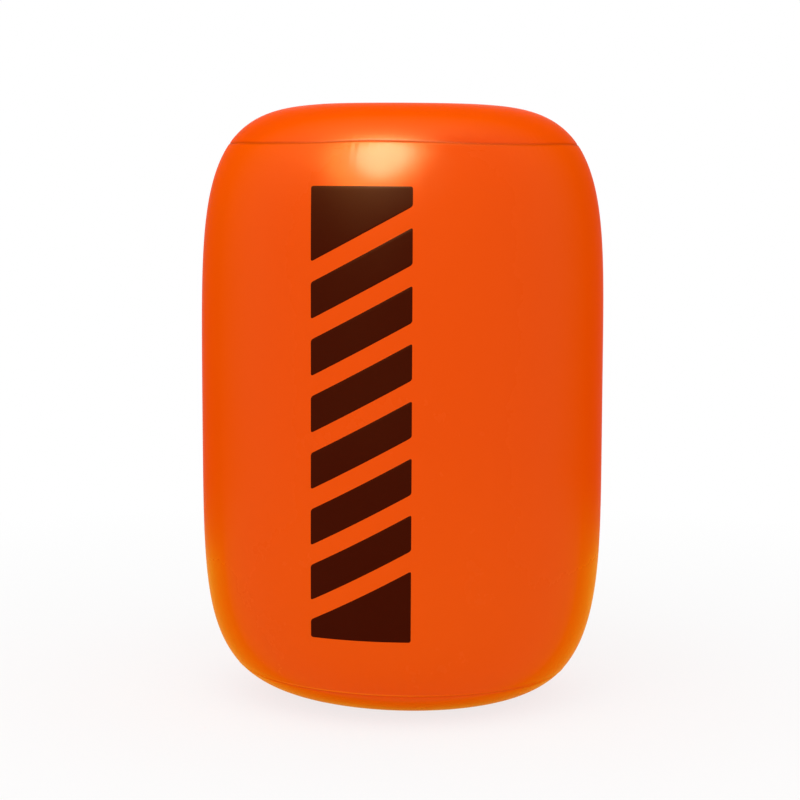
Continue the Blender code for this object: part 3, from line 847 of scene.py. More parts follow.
def ring_corners():
    """Flat ring with rounded edges."""
    top = RING_BOTTOM + RING_THICKNESS
    return [
        (RING_BORE, RING_BOTTOM, FILLET),
        (RING_RADIUS, RING_BOTTOM, FILLET),
        (RING_RADIUS, top, FILLET),
        (RING_BORE, top, FILLET),
    ]


def squared(wave):
    """A sine or cosine with its size raised to the power 2/6, which squares off a circle."""
    return np.sign(wave) * np.abs(wave) ** (2 / STRAP_POWER)


def strap_grid():
    """A flat rounded section carried along a path that leaves the ring and turns back to the head.

    The path is a line, a half circle and a line in the plane y = 0. The section's corners are
    those of |a|^6 + |b|^6 = 1, stretched to the strap's width and thickness.
    """
    low = RING_BOTTOM + RING_THICKNESS / 2
    high = HEAD_BOTTOM + STRAP_LIFT
    bend = (high - low) / 2
    turn_x = HEAD_RADIUS + STRAP_REACH
    swing = np.linspace(-np.pi / 2, np.pi / 2, STRAP_BEND_POINTS)
    ring_x = RING_RADIUS - RING_WIDTH / 2
    head_x = HEAD_RADIUS - HEAD_OVERHANG
    out = np.linspace(ring_x, turn_x, STRAP_SIDE_POINTS, endpoint=False)
    back = np.linspace(turn_x, head_x, STRAP_SIDE_POINTS, endpoint=False)[1:]
    path_x = np.concatenate([out, turn_x + bend * np.cos(swing), back])
    bend_z = low + bend + bend * np.sin(swing)
    path_z = np.concatenate([0 * out + low, bend_z, 0 * back + high])
    heading = np.arctan2(np.gradient(path_z), np.gradient(path_x))
    turn = np.linspace(0, FULL_TURN, STRAP_ROUND_POINTS, endpoint=False)
    across = squared(np.cos(turn)) * STRAP_WIDTH / 2
    thick = squared(np.sin(turn)) * STRAP_THICKNESS / 2
    x = path_x[:, None] - np.sin(heading)[:, None] * thick
    z = path_z[:, None] + np.cos(heading)[:, None] * thick
    return np.stack([x, across + 0 * x, z], axis=-1)


plug_ring = lathe("plug_ring", ring_corners(), VALVE_SIDES, VALVE)
plug_strap = make_piece("plug_strap", strap_grid(), matrix=VALVE, sharp_deg=60.0)

# %% [markdown]
# ## The patch, the eyelet and its washer
# Under the foot a round patch of thicker cloth is welded to the dish and spreads the anchor's pull.
# The steel eyelet's barrel goes through the tab and is rolled out over a washer, which stops it
# from tearing out. Heights and radii come from the solids, so each piece sits where they do.

# %% The patch, the eyelet and its washer
eyelet_low, eyelet_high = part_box("tether_eyelet")
washer_low, washer_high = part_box("tether_washer")
tab_low, tab_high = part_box("tether_tab")
EYELET_BORE_RADIUS = 0.0060
EYELET_WALL = 0.0008
EYELET_CURL = 0.0020
BARREL_RADIUS = EYELET_BORE_RADIUS + EYELET_WALL
HOLE_RADIUS = BARREL_RADIUS + SEAT_GAP
SHEET_FILLET = 0.0003
BORE_FILLET = SHEET_FILLET * 1.8
CURL_FILLET = SHEET_FILLET * 1.5
PATCH_EDGE = 0.0006         # thickness that the patch thins down to at its rim
EYELET_SIDES = 96
PATCH_SIDES = 160

patch_thickness = patch_high.z - patch_low.z
patch_edge = patch_high.x
patch_corners = [
    (0.0, patch_low.z, 0.0),
    (patch_edge - patch_thickness, patch_low.z, patch_thickness),
    (patch_edge, patch_high.z - PATCH_EDGE, PATCH_EDGE / 3),
    (patch_edge, patch_high.z, 0.0),
    (0.0, patch_high.z, 0.0),
]
curl_top = eyelet_low.z + EYELET_WALL
flange_bottom = eyelet_high.z - EYELET_WALL
flange_edge = eyelet_high.x
eyelet_corners = [
    (EYELET_BORE_RADIUS, eyelet_low.z, BORE_FILLET),
    (BARREL_RADIUS + EYELET_CURL, eyelet_low.z, CURL_FILLET),
    (BARREL_RADIUS + EYELET_CURL, curl_top, 0.0),
    (BARREL_RADIUS, curl_top, 0.0),
    (BARREL_RADIUS, flange_bottom, 0.0),
    (flange_edge, flange_bottom, 0.0),
    (flange_edge, eyelet_high.z, CURL_FILLET),
    (EYELET_BORE_RADIUS, eyelet_high.z, BORE_FILLET),
]
washer_corners = [
    (HOLE_RADIUS, washer_low.z, 0.0),
    (washer_high.x, washer_low.z, SHEET_FILLET),
    (washer_high.x, washer_high.z, 0.0),
    (HOLE_RADIUS, washer_high.z, 0.0),
]
patch_disc = lathe("patch_disc", patch_corners, PATCH_SIDES)
eyelet_ring = lathe("eyelet_ring", eyelet_corners, EYELET_SIDES)
washer_ring = lathe("washer_ring", washer_corners, EYELET_SIDES)
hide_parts("tether_patch")
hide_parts("tether_eyelet")
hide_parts("tether_washer")

# %% [markdown]
# ## The webbing tab
# A tab of webbing is welded to the patch at one end and carries the eyelet at the other, where it
# hangs a step lower. Its surface is a table of rays from the hole: each ray runs out over the
# upper face to the tab's edge, round the rim and back underneath.

# %% The webbing tab
TAB_THICKNESS = 0.0020
TAB_ROOT = 0.018
TAB_RAYS = 240
TAB_STEPS = 40
TAB_RIM_POINTS = 5
TAB_RIM_SHARE = 0.35        # of the thickness, the rim's radius
TAB_CORNER_POWER = 16.0
SQUARE_END_RAYS = (4, 0.6)  # a crowd as in the skin's columns


def tab_edge(turn):
    """Distance from the hole's centre to the tab's edge: round in front, square behind.

    Behind the centre the edge is a Lamé corner: (|cos| / length)^16 + (|sin| / half)^16 sets it.
    """
    half = tab_high.y
    behind = (np.abs(np.cos(turn)) / -tab_low.x) ** TAB_CORNER_POWER
    behind = behind + (np.abs(np.sin(turn)) / half) ** TAB_CORNER_POWER
    return np.where(np.cos(turn) > 0, half, behind ** (-1 / TAB_CORNER_POWER))


def ray_density(turn):
    """Rays per angle: even, with more towards the square end."""
    return 1 + crowd(round_gap(turn, np.pi), *SQUARE_END_RAYS)


def tab_grid():
    """Rays from the hole, each a closed loop round the tab's thickness with rounded rims."""
    turn = spaced(0, FULL_TURN, TAB_RAYS + 1, ray_density)[:-1]
    rim = TAB_THICKNESS * TAB_RIM_SHARE
    arc = np.linspace(0, np.pi / 2, TAB_RIM_POINTS)
    flat = np.zeros(TAB_STEPS)
    out = np.linspace(0, 1, TAB_STEPS)
    upper, lower = arc[1:], arc[:-1]
    share = np.concatenate([out, 0 * upper + 1, 0 * lower + 1, out[::-1]])
    rim_in = np.concatenate([flat, rim * np.sin(upper), rim * np.cos(lower), flat])
    upper_z = TAB_THICKNESS - rim + rim * np.cos(upper)
    height = np.concatenate([flat + TAB_THICKNESS, upper_z, rim - rim * np.sin(lower), flat])
    edge = tab_edge(turn)[None, :] - rim
    reach = HOLE_RADIUS + (edge - HOLE_RADIUS) * share[:, None] + rim_in[:, None]
    x = reach * np.cos(turn)
    y = reach * np.sin(turn)
    drop_start = max(flange_edge, washer_high.x)
    drop_end = -tab_low.x - TAB_ROOT
    rise = tab_high.z - tab_low.z - TAB_THICKNESS
    rise = rise * smooth_step((-x - drop_start) / (drop_end - drop_start))
    z = tab_low.z + height[:, None] + rise
    return np.stack([x, y, z], axis=-1)


webbing_tab = make_piece("webbing_tab", tab_grid(), wrap_rows=True, sharp_deg=40.0)
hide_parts("tether_tab")

# %% [markdown]
# ## Finishes: small helpers
# A finish is a tree of nodes, and the same few nodes are needed again and again: a sum, a stretch
# from one range to another, noise and a mix of two colours. Each helper adds one of them and gives
# back its output, so a tree reads as a few lines of sums.

# %% Helpers for node trees
def add_node(tree, kind, **values):
    """A node of a kind, with its named inputs set."""
    node = tree.nodes.new(kind)
    for name, value in values.items():
        node.inputs[name.replace("_", " ")].default_value = value
    return node


def math_node(tree, operation, first, second):
    """One sum of two sockets or numbers."""
    node = tree.nodes.new("ShaderNodeMath")
    node.operation = operation
    for socket, value in zip(node.inputs, (first, second)):
        if isinstance(value, (int, float)):
            socket.default_value = value
        else:
            tree.links.new(value, socket)
    return node.outputs[0]


def map_range(tree, value, low, high, out_low=0.0, out_high=1.0):
    """Stretch a value from one range to another, held at the ends."""
    node = add_node(
        tree, "ShaderNodeMapRange",
        From_Min=low, From_Max=high, To_Min=out_low, To_Max=out_high)
    tree.links.new(value, node.inputs["Value"])
    return node.outputs["Result"]


def noise(tree, coordinates, scale, detail, roughness):
    """Noise on given coordinates: cells per metre, finer layers, and how strong each is."""
    node = add_node(tree, "ShaderNodeTexNoise", Scale=scale, Detail=detail, Roughness=roughness)
    tree.links.new(coordinates, node.inputs["Vector"])
    return node.outputs["Fac"]


def mix_colour(tree, factor, first, second, blend="MIX"):
    """Mix two colours, which are sockets or four numbers, by a factor socket."""
    node = tree.nodes.new("ShaderNodeMix")
    node.data_type = "RGBA"
    node.blend_type = blend
    tree.links.new(factor, node.inputs["Factor"])
    for name, value in (("A", first), ("B", second)):
        socket = next(s for s in node.inputs if s.name == name and s.type == "RGBA")
        if isinstance(value, tuple):
            socket.default_value = value
        else:
            tree.links.new(value, socket)
    return next(s for s in node.outputs if s.type == "RGBA")


def new_group(name, inputs, outputs):
    """An empty group with (name, socket type, value) inputs and (name, socket type) outputs."""
    group = bpy.data.node_groups.new(name, "ShaderNodeTree")
    for label, kind, value in inputs:
        socket = group.interface.new_socket(label, in_out="INPUT", socket_type=kind)
        socket.default_value = value
    for label, kind in outputs:
        group.interface.new_socket(label, in_out="OUTPUT", socket_type=kind)
    return group, group.nodes.new("NodeGroupInput"), group.nodes.new("NodeGroupOutput")


def place_and_height(tree):
    """Object coordinates, which are metres in the buoy's frame, and their height alone."""
    place = tree.nodes.new("ShaderNodeTexCoord").outputs["Object"]
    split = tree.nodes.new("ShaderNodeSeparateXYZ")
    tree.links.new(place, split.inputs[0])
    return place, split.outputs


FLOAT = "NodeSocketFloat"
COLOUR = "NodeSocketColor"
SURFACE_OUTPUTS = [("Colour", COLOUR), ("Roughness", FLOAT), ("Height", FLOAT)]
print("every group puts out:", [label for label, kind in SURFACE_OUTPUTS])

# %% [markdown]
# ## The coated-cloth group
# Bag, ink and patch are the same kind of cloth with different dyes, so they share one group. Its
# dye is never quite even, its gloss is cloudy where hands and stacking have rubbed it, and its skin
# shows the weave below as a slow ripple. Towards the foot the colour is painted lighter and more
# yellow, which is painted light, and the ring that touches the ground is scuffed. The group puts
# out colours, values and heights, and the shader itself stays in each material.

# %% The coated-cloth group
DYE_CLOUDS = (3.0, 1.0, 0.5)    # noise: cells per metre, finer layers, and how strong each is
DYE_FINE = (60.0, 4.0, 0.6)
DYE_FINE_SHARE = 0.25
DYE_RANGE = (0.15, 0.85)    # the part of the noise that is stretched to 0 to 1
HANDLING = (9.0, 5.0, 0.65)
HANDLING_RANGE = (0.3, 0.7)
RIPPLE = (24.0, 2.0, 0.5)
GRAIN = (420.0, 2.0, 0.5)
GRAIN_SHARE = 0.06          # height of the grain against the ripple's
SCUFFS = (95.0, 6.0, 0.7)
SCUFF_RANGE = (0.45, 0.65)
FOOT_PAINTED_LIGHT_FULL = 0.06        # heights over which the foot's painted light runs out
FOOT_PAINTED_LIGHT_NONE = 0.42
SCUFF_FULL = 0.0005         # heights between which the ground's scuffs run out
SCUFF_NONE = 0.0030
SCUFF_DULLING = 0.35


def coated_cloth_group():
    """Mottled dye, cloudy gloss and a skin that is never quite flat."""
    inputs = [
        ("Colour", COLOUR, (0.8, 0.08, 0.001, 1.0)),
        ("Deep colour", COLOUR, (0.7, 0.06, 0.001, 1.0)),
        ("Foot dye", COLOUR, (1.0, 1.0, 1.0, 1.0)),
        ("Dust", COLOUR, (0.55, 0.30, 0.20, 1.0)),
        ("Scuff", FLOAT, 0.0),
        ("Mottle", FLOAT, 0.5),
        ("Gloss", FLOAT, 0.2),
        ("Gloss spread", FLOAT, 0.06),
    ]
    group, given, out = new_group("coated_cloth", inputs, SURFACE_OUTPUTS)
    place, axes = place_and_height(group)
    cloudy = noise(group, place, *DYE_CLOUDS)
    fine = noise(group, place, *DYE_FINE)
    cloudy = math_node(group, "MULTIPLY", cloudy, 1 - DYE_FINE_SHARE)
    dye = math_node(group, "ADD", cloudy, math_node(group, "MULTIPLY", fine, DYE_FINE_SHARE))
    dye = map_range(group, dye, *DYE_RANGE)
    dye = math_node(group, "MULTIPLY", dye, given.outputs["Mottle"])
    colour = mix_colour(group, dye, given.outputs["Colour"], given.outputs["Deep colour"])
    # painted light: the colour turns lighter and yellower towards the foot
    low = map_range(group, axes["Z"], FOOT_PAINTED_LIGHT_FULL, FOOT_PAINTED_LIGHT_NONE, 1.0, 0.0)
    colour = mix_colour(group, low, colour, given.outputs["Foot dye"], "MULTIPLY")
    touching = map_range(group, axes["Z"], SCUFF_FULL, SCUFF_NONE, 1.0, 0.0)
    patchy = map_range(group, noise(group, place, *SCUFFS), *SCUFF_RANGE)
    scuff = math_node(group, "MULTIPLY", touching, patchy)
    scuff = math_node(group, "MULTIPLY", scuff, given.outputs["Scuff"])
    colour = mix_colour(group, scuff, colour, given.outputs["Dust"])
    group.links.new(colour, out.inputs["Colour"])
    handled = noise(group, place, *HANDLING)
    handled = map_range(group, handled, *HANDLING_RANGE, -1.0, 1.0)
    rough = math_node(group, "MULTIPLY", handled, given.outputs["Gloss spread"])
    rough = math_node(group, "ADD", rough, math_node(group, "MULTIPLY", scuff, SCUFF_DULLING))
    rough = math_node(group, "ADD", rough, given.outputs["Gloss"])
    group.links.new(rough, out.inputs["Roughness"])
    ripple = noise(group, place, *RIPPLE)
    grain = math_node(group, "MULTIPLY", noise(group, place, *GRAIN), GRAIN_SHARE)
    group.links.new(math_node(group, "ADD", ripple, grain), out.inputs["Height"])
    return group


COATED_CLOTH = coated_cloth_group()
print(COATED_CLOTH.name, "has", len(COATED_CLOTH.nodes), "nodes")

# %% [markdown]
# ## The moulded-grain group
# Soft plastic leaves the mould with the mould's fine grain, and with age a whitish bloom of
# plasticiser comes out in patches, which are also duller. Rolled steel takes the same group with
# other values: its patches are where it has tarnished.

# %% The moulded-grain group
BLOOM = (180.0, 5.0, 0.65)  # noise, as in the cloth's group
BLOOM_RANGE = (0.42, 0.68)
BLOOM_DULLING = 0.14
MOULD_GRAIN_DETAIL = 3.0


def moulding_group():
    """Fine moulded grain with a slight bloom."""
    inputs = [
        ("Colour", COLOUR, (0.05, 0.05, 0.05, 1.0)),
        ("Bloom", COLOUR, (0.12, 0.12, 0.12, 1.0)),
        ("Bloom amount", FLOAT, 0.3),
        ("Gloss", FLOAT, 0.4),
        ("Grain scale", FLOAT, 1500.0),
    ]
    group, given, out = new_group("moulded_grain", inputs, SURFACE_OUTPUTS)
    place, _ = place_and_height(group)
    cloudy = map_range(group, noise(group, place, *BLOOM), *BLOOM_RANGE)
    bloom = math_node(group, "MULTIPLY", cloudy, given.outputs["Bloom amount"])
    colour = mix_colour(group, bloom, given.outputs["Colour"], given.outputs["Bloom"])
    group.links.new(colour, out.inputs["Colour"])
    rough = math_node(group, "MULTIPLY", cloudy, BLOOM_DULLING)
    group.links.new(math_node(group, "ADD", rough, given.outputs["Gloss"]), out.inputs["Roughness"])
    grain = add_node(group, "ShaderNodeTexNoise", Detail=MOULD_GRAIN_DETAIL)
    group.links.new(place, grain.inputs["Vector"])
    group.links.new(given.outputs["Grain scale"], grain.inputs["Scale"])
    group.links.new(grain.outputs["Fac"], out.inputs["Height"])
    return group


MOULDED_GRAIN = moulding_group()
print(MOULDED_GRAIN.name, "has", len(MOULDED_GRAIN.nodes), "nodes")

# %% [markdown]
# ## The woven-band group
# Webbing is a plain weave of thick polyester yarns. The product of two waves, one along the band
# and one across it, gives its chequered bumps. The yarns' backs are rubbed paler and smoother, and
# the colour is paler on the weave's tops and darker in its valleys: wear and painted shade.

# %% The woven-band group
WEAR = (120.0, 4.0, 0.6)    # noise, as in the cloth's group
WEAR_RANGE = (0.4, 0.7)
LEAST_WEAR = 0.15
WEAR_POLISH = 0.12


def woven_band_group():
    """Plain weave: height = (1 + sin kx sin ly) / 2, dark in its valleys with painted shade."""
    inputs = [
        ("Colour", COLOUR, (0.02, 0.02, 0.02, 1.0)),
        ("Rubbed and lit", COLOUR, (0.06, 0.06, 0.06, 1.0)),
        ("Pitch along", FLOAT, 0.0024),
        ("Pitch across", FLOAT, 0.0017),
        ("Gloss", FLOAT, 0.55),
    ]
    group, given, out = new_group("woven_band", inputs, SURFACE_OUTPUTS)
    place, axes = place_and_height(group)
    waves = []
    for axis, pitch in (("X", "Pitch along"), ("Y", "Pitch across")):
        turns = math_node(group, "DIVIDE", axes[axis], given.outputs[pitch])
        waves.append(math_node(group, "SINE", math_node(group, "MULTIPLY", turns, FULL_TURN), 0.0))
    weave = map_range(group, math_node(group, "MULTIPLY", *waves), -1.0, 1.0)
    group.links.new(weave, out.inputs["Height"])
    worn = map_range(group, noise(group, place, *WEAR), *WEAR_RANGE, LEAST_WEAR)
    # paler tops and darker valleys: rubbed wear and painted shade
    rubbed_and_lit = math_node(group, "MULTIPLY", weave, worn)
    colour = mix_colour(group, rubbed_and_lit, given.outputs["Colour"], given.outputs["Rubbed and lit"])
    group.links.new(colour, out.inputs["Colour"])
    rough = math_node(group, "MULTIPLY", rubbed_and_lit, -WEAR_POLISH)
    group.links.new(math_node(group, "ADD", rough, given.outputs["Gloss"]), out.inputs["Roughness"])
    return group


WOVEN_BAND = woven_band_group()
print(WOVEN_BAND.name, "has", len(WOVEN_BAND.nodes), "nodes")

# %% [markdown]
# ## From a group to a material
# Each material is one shader fed by one group: its colour, its roughness and its height as a bump.
# What differs from piece to piece is only the group's values.

# %% From a group to a material
def group_material(name, group, bump, distance, **values):
    """A Principled material fed by a group's colour, roughness and height.

    bump is the strength of the relief, and distance is its height in metres.
    """
    material = bpy.data.materials.new(name)
    material.use_nodes = True
    tree = material.node_tree
    shader = tree.nodes["Principled BSDF"]
    source = tree.nodes.new("ShaderNodeGroup")
    source.node_tree = group
    for label, value in values.items():
        source.inputs[label.replace("_", " ")].default_value = value
    tree.links.new(source.outputs["Colour"], shader.inputs["Base Color"])
    tree.links.new(source.outputs["Roughness"], shader.inputs["Roughness"])
    relief = add_node(tree, "ShaderNodeBump", Strength=bump, Distance=distance)
    tree.links.new(source.outputs["Height"], relief.inputs["Height"])
    tree.links.new(relief.outputs["Normal"], shader.inputs["Normal"])
    print(f"{name}: fed by {group.name}")
    return material, shader


def dress(material, *objects):
    """Give objects one material."""
    for obj in objects:
        obj.data.materials.clear()
        obj.data.materials.append(material)


# %% [markdown]
# ## Coated vinyl
# The cloth's coat is soft vinyl: strongly dyed below, and clear at its very top. Seen square on,
# it is nearly pure colour with a soft gloss. Seen edge on, the light's way through the top layer is
# long, so what it mirrors turns amber, which a tinted coat that is weighted by the facing gives.
# The wall has been handled and is dull at grazing angles, while the part near the foot has kept its
# gloss, and mirrors the floor there as the bright amber rim of the photograph.

# %% Coated vinyl
WARM = (1.0, 0.80, 0.50)    # tint of what the vinyl mirrors
COAT_IOR = 1.01
COAT_START = 0.12           # 1 minus the cosine of the angle between the normal and the view
COAT_END = 0.60
DULL_START = 0.15           # the same, for the dulling of the handled wall
DULL_END = 0.70
DULL_AMOUNT = 0.73
GLOSSY_BELOW = 0.20         # heights between which the skin turns from glossy to handled
HANDLED_ABOVE = 0.36
CLOTH_BUMP = 0.35
CLOTH_BUMP_DISTANCE = 0.0004


def coated_material(name, colour, deep, gloss, specular, coat_tint, **values):
    """Vinyl of one colour, amber and dull at its edges, but glossy near the foot."""
    material, shader = group_material(
        name, COATED_CLOTH, CLOTH_BUMP, CLOTH_BUMP_DISTANCE,
        Colour=(*colour, 1.0), Deep_colour=(*deep, 1.0), Gloss=gloss, **values)
    shader.inputs["Specular IOR Level"].default_value = specular
    shader.inputs["Specular Tint"].default_value = (*WARM, 1.0)
    shader.inputs["Coat Roughness"].default_value = gloss
    shader.inputs["Coat IOR"].default_value = COAT_IOR
    shader.inputs["Coat Tint"].default_value = (*coat_tint, 1.0)
    tree = material.node_tree
    edge = add_node(tree, "ShaderNodeLayerWeight", Blend=0.5).outputs["Facing"]
    coat = map_range(tree, edge, COAT_START, COAT_END)
    tree.links.new(coat, shader.inputs["Coat Weight"])
    _, axes = place_and_height(tree)
    handled = map_range(tree, axes["Z"], GLOSSY_BELOW, HANDLED_ABOVE)
    dulling = map_range(tree, edge, DULL_START, DULL_END, 0.0, DULL_AMOUNT)
    dulling = math_node(tree, "MULTIPLY", dulling, handled)
    rough = math_node(tree, "ADD", shader.inputs["Roughness"].links[0].from_socket, dulling)
    tree.links.new(rough, shader.inputs["Roughness"])
    return material, shader


AMBER_COAT = (1.0, 0.93, 0.08)
# the foot's colour is painted lighter and yellower here: painted light
orange_vinyl, orange_shader = coated_material(
    "orange_vinyl", colour=(0.86, 0.076, 0.0001), deep=(0.82, 0.071, 0.0001), gloss=0.235,
    specular=0.12, coat_tint=AMBER_COAT, Foot_dye=(1.02, 1.20, 1.0, 1.0), Scuff=0.30)
dress(orange_vinyl, bag_skin)

# %% [markdown]
# ## The marks on the orange
# The marks that the skin carries become colour and gloss here: dark creases, a painted highlight
# on the lower weld's turned edge, painted shade on the top disc, and the bands that the welding
# bars left smoother.

# %% The marks on the orange
WELD_DARKNESS = 0.45        # share of the crease's colour where a weld is darkest
WELD_DULLING = 0.45         # roughness added there
EDGE_HIGHLIGHT_SHARE = 0.90       # share of the painted highlight's colour at its brightest
LAP_DARKNESS = 0.35
SEALED_GLOSS = 0.04         # roughness taken off where the welding bars pressed
CREASE_COLOUR = (0.30, 0.016, 0.0001, 1.0)
# pale orange of the painted highlight on the lower weld's edge
EDGE_HIGHLIGHT_COLOUR = (1.0, 0.22, 0.012, 1.0)
# painted shade: a darker tint for the top disc
TOP_DISC_SHADE = (0.97, 0.84, 1.0, 1.0)


def mask_value(tree, label, share):
    """A stored mask times a share."""
    node = tree.nodes.new("ShaderNodeAttribute")
    node.attribute_name = label
    return math_node(tree, "MULTIPLY", node.outputs["Fac"], share)


def add_skin_marks(material, shader):
    """Lay the skin's marks over a material's colour and roughness."""
    tree = material.node_tree
    colour = shader.inputs["Base Color"].links[0].from_socket
    rough = shader.inputs["Roughness"].links[0].from_socket
    weld_shade = mask_value(tree, "weld_line", WELD_DARKNESS)
    shade = math_node(tree, "ADD", weld_shade, mask_value(tree, "lap_line", LAP_DARKNESS))
    # painted shade on the top disc
    colour = mix_colour(tree, mask_value(tree, "top_disc_shade", 1.0), colour, TOP_DISC_SHADE, "MULTIPLY")
    colour = mix_colour(tree, shade, colour, CREASE_COLOUR)
    # painted highlight on the lower weld's edge
    colour = mix_colour(tree, mask_value(tree, "weld_edge_highlight", EDGE_HIGHLIGHT_SHARE), colour, EDGE_HIGHLIGHT_COLOUR)
    tree.links.new(colour, shader.inputs["Base Color"])
    rough = math_node(tree, "ADD", rough, mask_value(tree, "weld_line", WELD_DULLING))
    rough = math_node(tree, "SUBTRACT", rough, mask_value(tree, "sealed", SEALED_GLOSS))
    tree.links.new(rough, shader.inputs["Roughness"])


add_skin_marks(orange_vinyl, orange_shader)
print("orange_vinyl has", len(orange_vinyl.node_tree.nodes), "nodes")

# %% [markdown]
# ## Ink and patch
# The ink is a vinyl screen ink, so it shares the cloth's behaviour, but it is dyed a very dark
# brown and is matter. The patch is a thicker cloth in a duller orange, hidden from the sun.

# %% Ink and patch
DARK_COAT = (0.9, 0.72, 0.55)
dark_ink, _ = coated_material(
    "dark_ink", colour=(0.052, 0.0036, 0.0002), deep=(0.044, 0.0030, 0.0002), gloss=0.42,
    specular=0.025, coat_tint=DARK_COAT)
patch_vinyl, _ = coated_material(
    "patch_vinyl", colour=(0.68, 0.064, 0.0020), deep=(0.62, 0.056, 0.0018), gloss=0.38,
    specular=0.20, coat_tint=AMBER_COAT)
dress(dark_ink, *print_bars)
dress(patch_vinyl, patch_disc)

# %% [markdown]
# ## Plastic, webbing and steel
# The valve is dark grey soft plastic and its plug is nearly black, so that it is found at a glance.
# The valve's inner flap is a milky film. The tab is black webbing, and the eyelet and its washer
# are plain steel.

# %% Plastic, webbing and steel
MOULD_BUMP = 0.25
FILM_BUMP = 0.2
STEEL_BUMP = 0.15
WEAVE_BUMP = 0.8
GRAIN_DISTANCE = 0.0001
WEAVE_DISTANCE = 0.0003
PLUG_SPECULAR = 0.25
valve_plastic, _ = group_material(
    "valve_plastic", MOULDED_GRAIN, MOULD_BUMP, GRAIN_DISTANCE,
    Colour=(0.075, 0.075, 0.080, 1.0), Bloom=(0.15, 0.15, 0.15, 1.0), Gloss=0.36)
plug_plastic, plug_shader = group_material(
    "plug_plastic", MOULDED_GRAIN, MOULD_BUMP, GRAIN_DISTANCE,
    Colour=(0.010, 0.010, 0.011, 1.0), Bloom=(0.035, 0.035, 0.036, 1.0), Gloss=0.30)
plug_shader.inputs["Specular IOR Level"].default_value = PLUG_SPECULAR
flap_film, _ = group_material(
    "flap_film", MOULDED_GRAIN, FILM_BUMP, GRAIN_DISTANCE,
    Colour=(0.62, 0.60, 0.55, 1.0), Bloom=(0.70, 0.69, 0.66, 1.0), Gloss=0.40)
webbing, _ = group_material("webbing", WOVEN_BAND, WEAVE_BUMP, WEAVE_DISTANCE)
steel, steel_shader = group_material(
    "steel", MOULDED_GRAIN, STEEL_BUMP, GRAIN_DISTANCE,
    Colour=(0.62, 0.62, 0.60, 1.0), Bloom=(0.50, 0.50, 0.49, 1.0), Gloss=0.22)
steel_shader.inputs["Metallic"].default_value = 1.0
dress(valve_plastic, valve_moulding)
dress(plug_plastic, plug_head, plug_ring, plug_strap)
dress(flap_film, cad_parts["valve_flap"])
dress(webbing, webbing_tab)
dress(steel, eyelet_ring, washer_ring)

# %% [markdown]
# ## The white room
# The photograph's background is plain white. The world is white wherever the camera, a mirror or
# glass looks at it, and gives a slightly softer light to everything else.

# %% The white room
AMBIENT = 0.87
WHITE = (1.0, 1.0, 1.0, 1.0)


def seen_ray(tree):
    """1 for camera, glossy and transmission rays."""
    path = tree.nodes.new("ShaderNodeLightPath")
    seen = math_node(tree, "MAXIMUM", path.outputs["Is Camera Ray"], path.outputs["Is Glossy Ray"])
    return math_node(tree, "MAXIMUM", seen, path.outputs["Is Transmission Ray"])


def make_world():
    """White where it is looked at, ambient light elsewhere."""
    world = bpy.data.worlds.new("studio")
    bpy.context.scene.world = world
    world.use_nodes = True
    tree = world.node_tree
    background = tree.nodes["Background"]
    background.inputs["Color"].default_value = WHITE
    strength = map_range(tree, seen_ray(tree), 0.0, 1.0, AMBIENT)
    tree.links.new(strength, background.inputs["Strength"])


make_world()
print("ambient light:", AMBIENT)

# %% [markdown]
# ## The floor
# The floor is pale and keeps the buoy's soft shadow, and it turns to the room's white further out.
# A studio floor is lit from all sides and sends light up under the foot, so a small share of its
# white glows. Seen from below it is clear, so that the foot can be looked at.

# %% The floor
FLOOR_HALF_SIZE = 20.0
FLOOR_ALBEDO = 0.90
FLOOR_WHITE_NEAR = 0.78     # share of plain white in what the camera sees of the floor
FLOOR_GLOW = 0.20           # share of plain white that lights the foot from below
FADE_START = 0.5            # distance from the axis where the floor begins to turn white
FADE_END = 1.8


def mix_shaders(tree, factor, first, second):
    """The first shader where the factor is 0, and the second where it is 1."""
    node = tree.nodes.new("ShaderNodeMixShader")
    for socket, source in zip(node.inputs, (factor, first, second)):
        tree.links.new(source, socket)
    return node.outputs[0]


def make_floor():
    """A large plane with a shadow-keeping material that fades to white."""
    mesh = bpy.data.meshes.new("floor")
    half = FLOOR_HALF_SIZE
    corners = [(-half, -half, 0), (half, -half, 0), (half, half, 0), (-half, half, 0)]
    mesh.from_pydata(corners, [], [(0, 1, 2, 3)])
    floor = new_object("floor", mesh)
    material = bpy.data.materials.new("floor")
    material.use_nodes = True
    tree = material.node_tree
    tree.nodes.clear()
    albedo = (FLOOR_ALBEDO, FLOOR_ALBEDO, FLOOR_ALBEDO, 1.0)
    diffuse = add_node(tree, "ShaderNodeBsdfDiffuse", Color=albedo)
    white = add_node(tree, "ShaderNodeEmission", Color=WHITE, Strength=1.0)
    place, _ = place_and_height(tree)
    length = tree.nodes.new("ShaderNodeVectorMath")
    length.operation = "LENGTH"
    tree.links.new(place, length.inputs[0])
    fade = map_range(tree, length.outputs["Value"], FADE_START, FADE_END, FLOOR_WHITE_NEAR)
    fade = math_node(tree, "MULTIPLY", fade, seen_ray(tree))
    fade = math_node(tree, "MAXIMUM", fade, FLOOR_GLOW)
    shown = mix_shaders(tree, fade, diffuse.outputs[0], white.outputs[0])
    below = tree.nodes.new("ShaderNodeNewGeometry").outputs["Backfacing"]
    clear = tree.nodes.new("ShaderNodeBsdfTransparent")
    both = mix_shaders(tree, below, shown, clear.outputs[0])
    out = tree.nodes.new("ShaderNodeOutputMaterial")
    tree.links.new(both, out.inputs["Surface"])
    mesh.materials.append(material)


make_floor()
print("floor, m:", 2 * FLOOR_HALF_SIZE, "square")

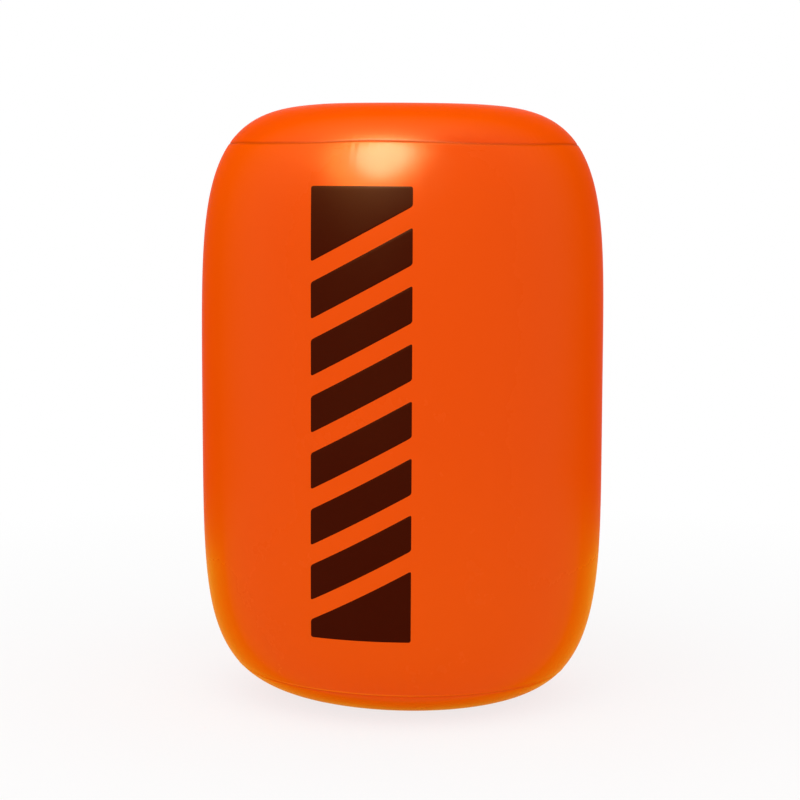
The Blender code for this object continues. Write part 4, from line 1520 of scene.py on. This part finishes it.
# %% [markdown]
# ## Lamps
# One large soft box hangs in front of the buoy, high and a little to the left. Its mirror image in
# the vinyl is the pale patch on the shoulder, so its place follows from the surface there: a
# mirror sends the view back at twice the angle that it faces.
#
# A real soft box is bright in its middle and dimmer and warmer at its rim. An area lamp is even, so
# two more lamps stand beside it for reflections only: a wide amber one and a small bright one. The
# even lamp alone lights the cloth and casts the shadow.

# %% Lamps
LAMP_TARGET = (-0.03, -0.25, 0.80)  # at the front's shoulder
LAMP_DISTANCE = 1.8
NEUTRAL = (1.0, 1.0, 1.0)
SHEEN_AMBER = (1.0, 0.92, 0.28)
# Each lamp's degrees to the left, up, across and high, its radiance and its colour.
KEY = (18.0, 55.0, 42.0, 62.0, 1.4, NEUTRAL)
KEY_SHEEN = (23.0, 51.5, 56.0, 64.0, 23.0, SHEEN_AMBER)
KEY_SHEEN_CORE = (15.0, 53.5, 30.0, 42.0, 46.0, NEUTRAL)


def spread(angle_deg):
    """Length that fills an angle from the lamps' distance: 2 d tan(angle / 2)."""
    return 2 * LAMP_DISTANCE * math.tan(math.radians(angle_deg) / 2)


def add_soft_box(name, left_deg, up_deg, width_deg, height_deg, radiance, colour):
    """An oval lamp that faces the shoulder. Its place and size are angles seen from there.

    Its power is its radiance times pi times its area.
    """
    width, height = spread(width_deg), spread(height_deg)
    lamp = bpy.data.lights.new(name, "AREA")
    lamp.shape = "ELLIPSE"
    lamp.size = width
    lamp.size_y = height
    lamp.energy = radiance * math.pi * width * height * math.pi / 4
    lamp.color = colour
    box = new_object(name, lamp)
    azimuth, elevation = math.radians(left_deg), math.radians(up_deg)
    level = math.cos(elevation)
    towards = Vector((-math.sin(azimuth) * level, -math.cos(azimuth) * level, math.sin(elevation)))
    box.location = Vector(LAMP_TARGET) + towards * LAMP_DISTANCE
    box.rotation_euler = (-towards).to_track_quat("-Z", "Y").to_euler()
    print(f"{name}: {width:.2f} x {height:.2f} m, {lamp.energy:.0f} W")
    return box


add_soft_box("key", *KEY)
for name, values in (("key_sheen", KEY_SHEEN), ("key_sheen_core", KEY_SHEEN_CORE)):
    add_soft_box(name, *values).visible_diffuse = False
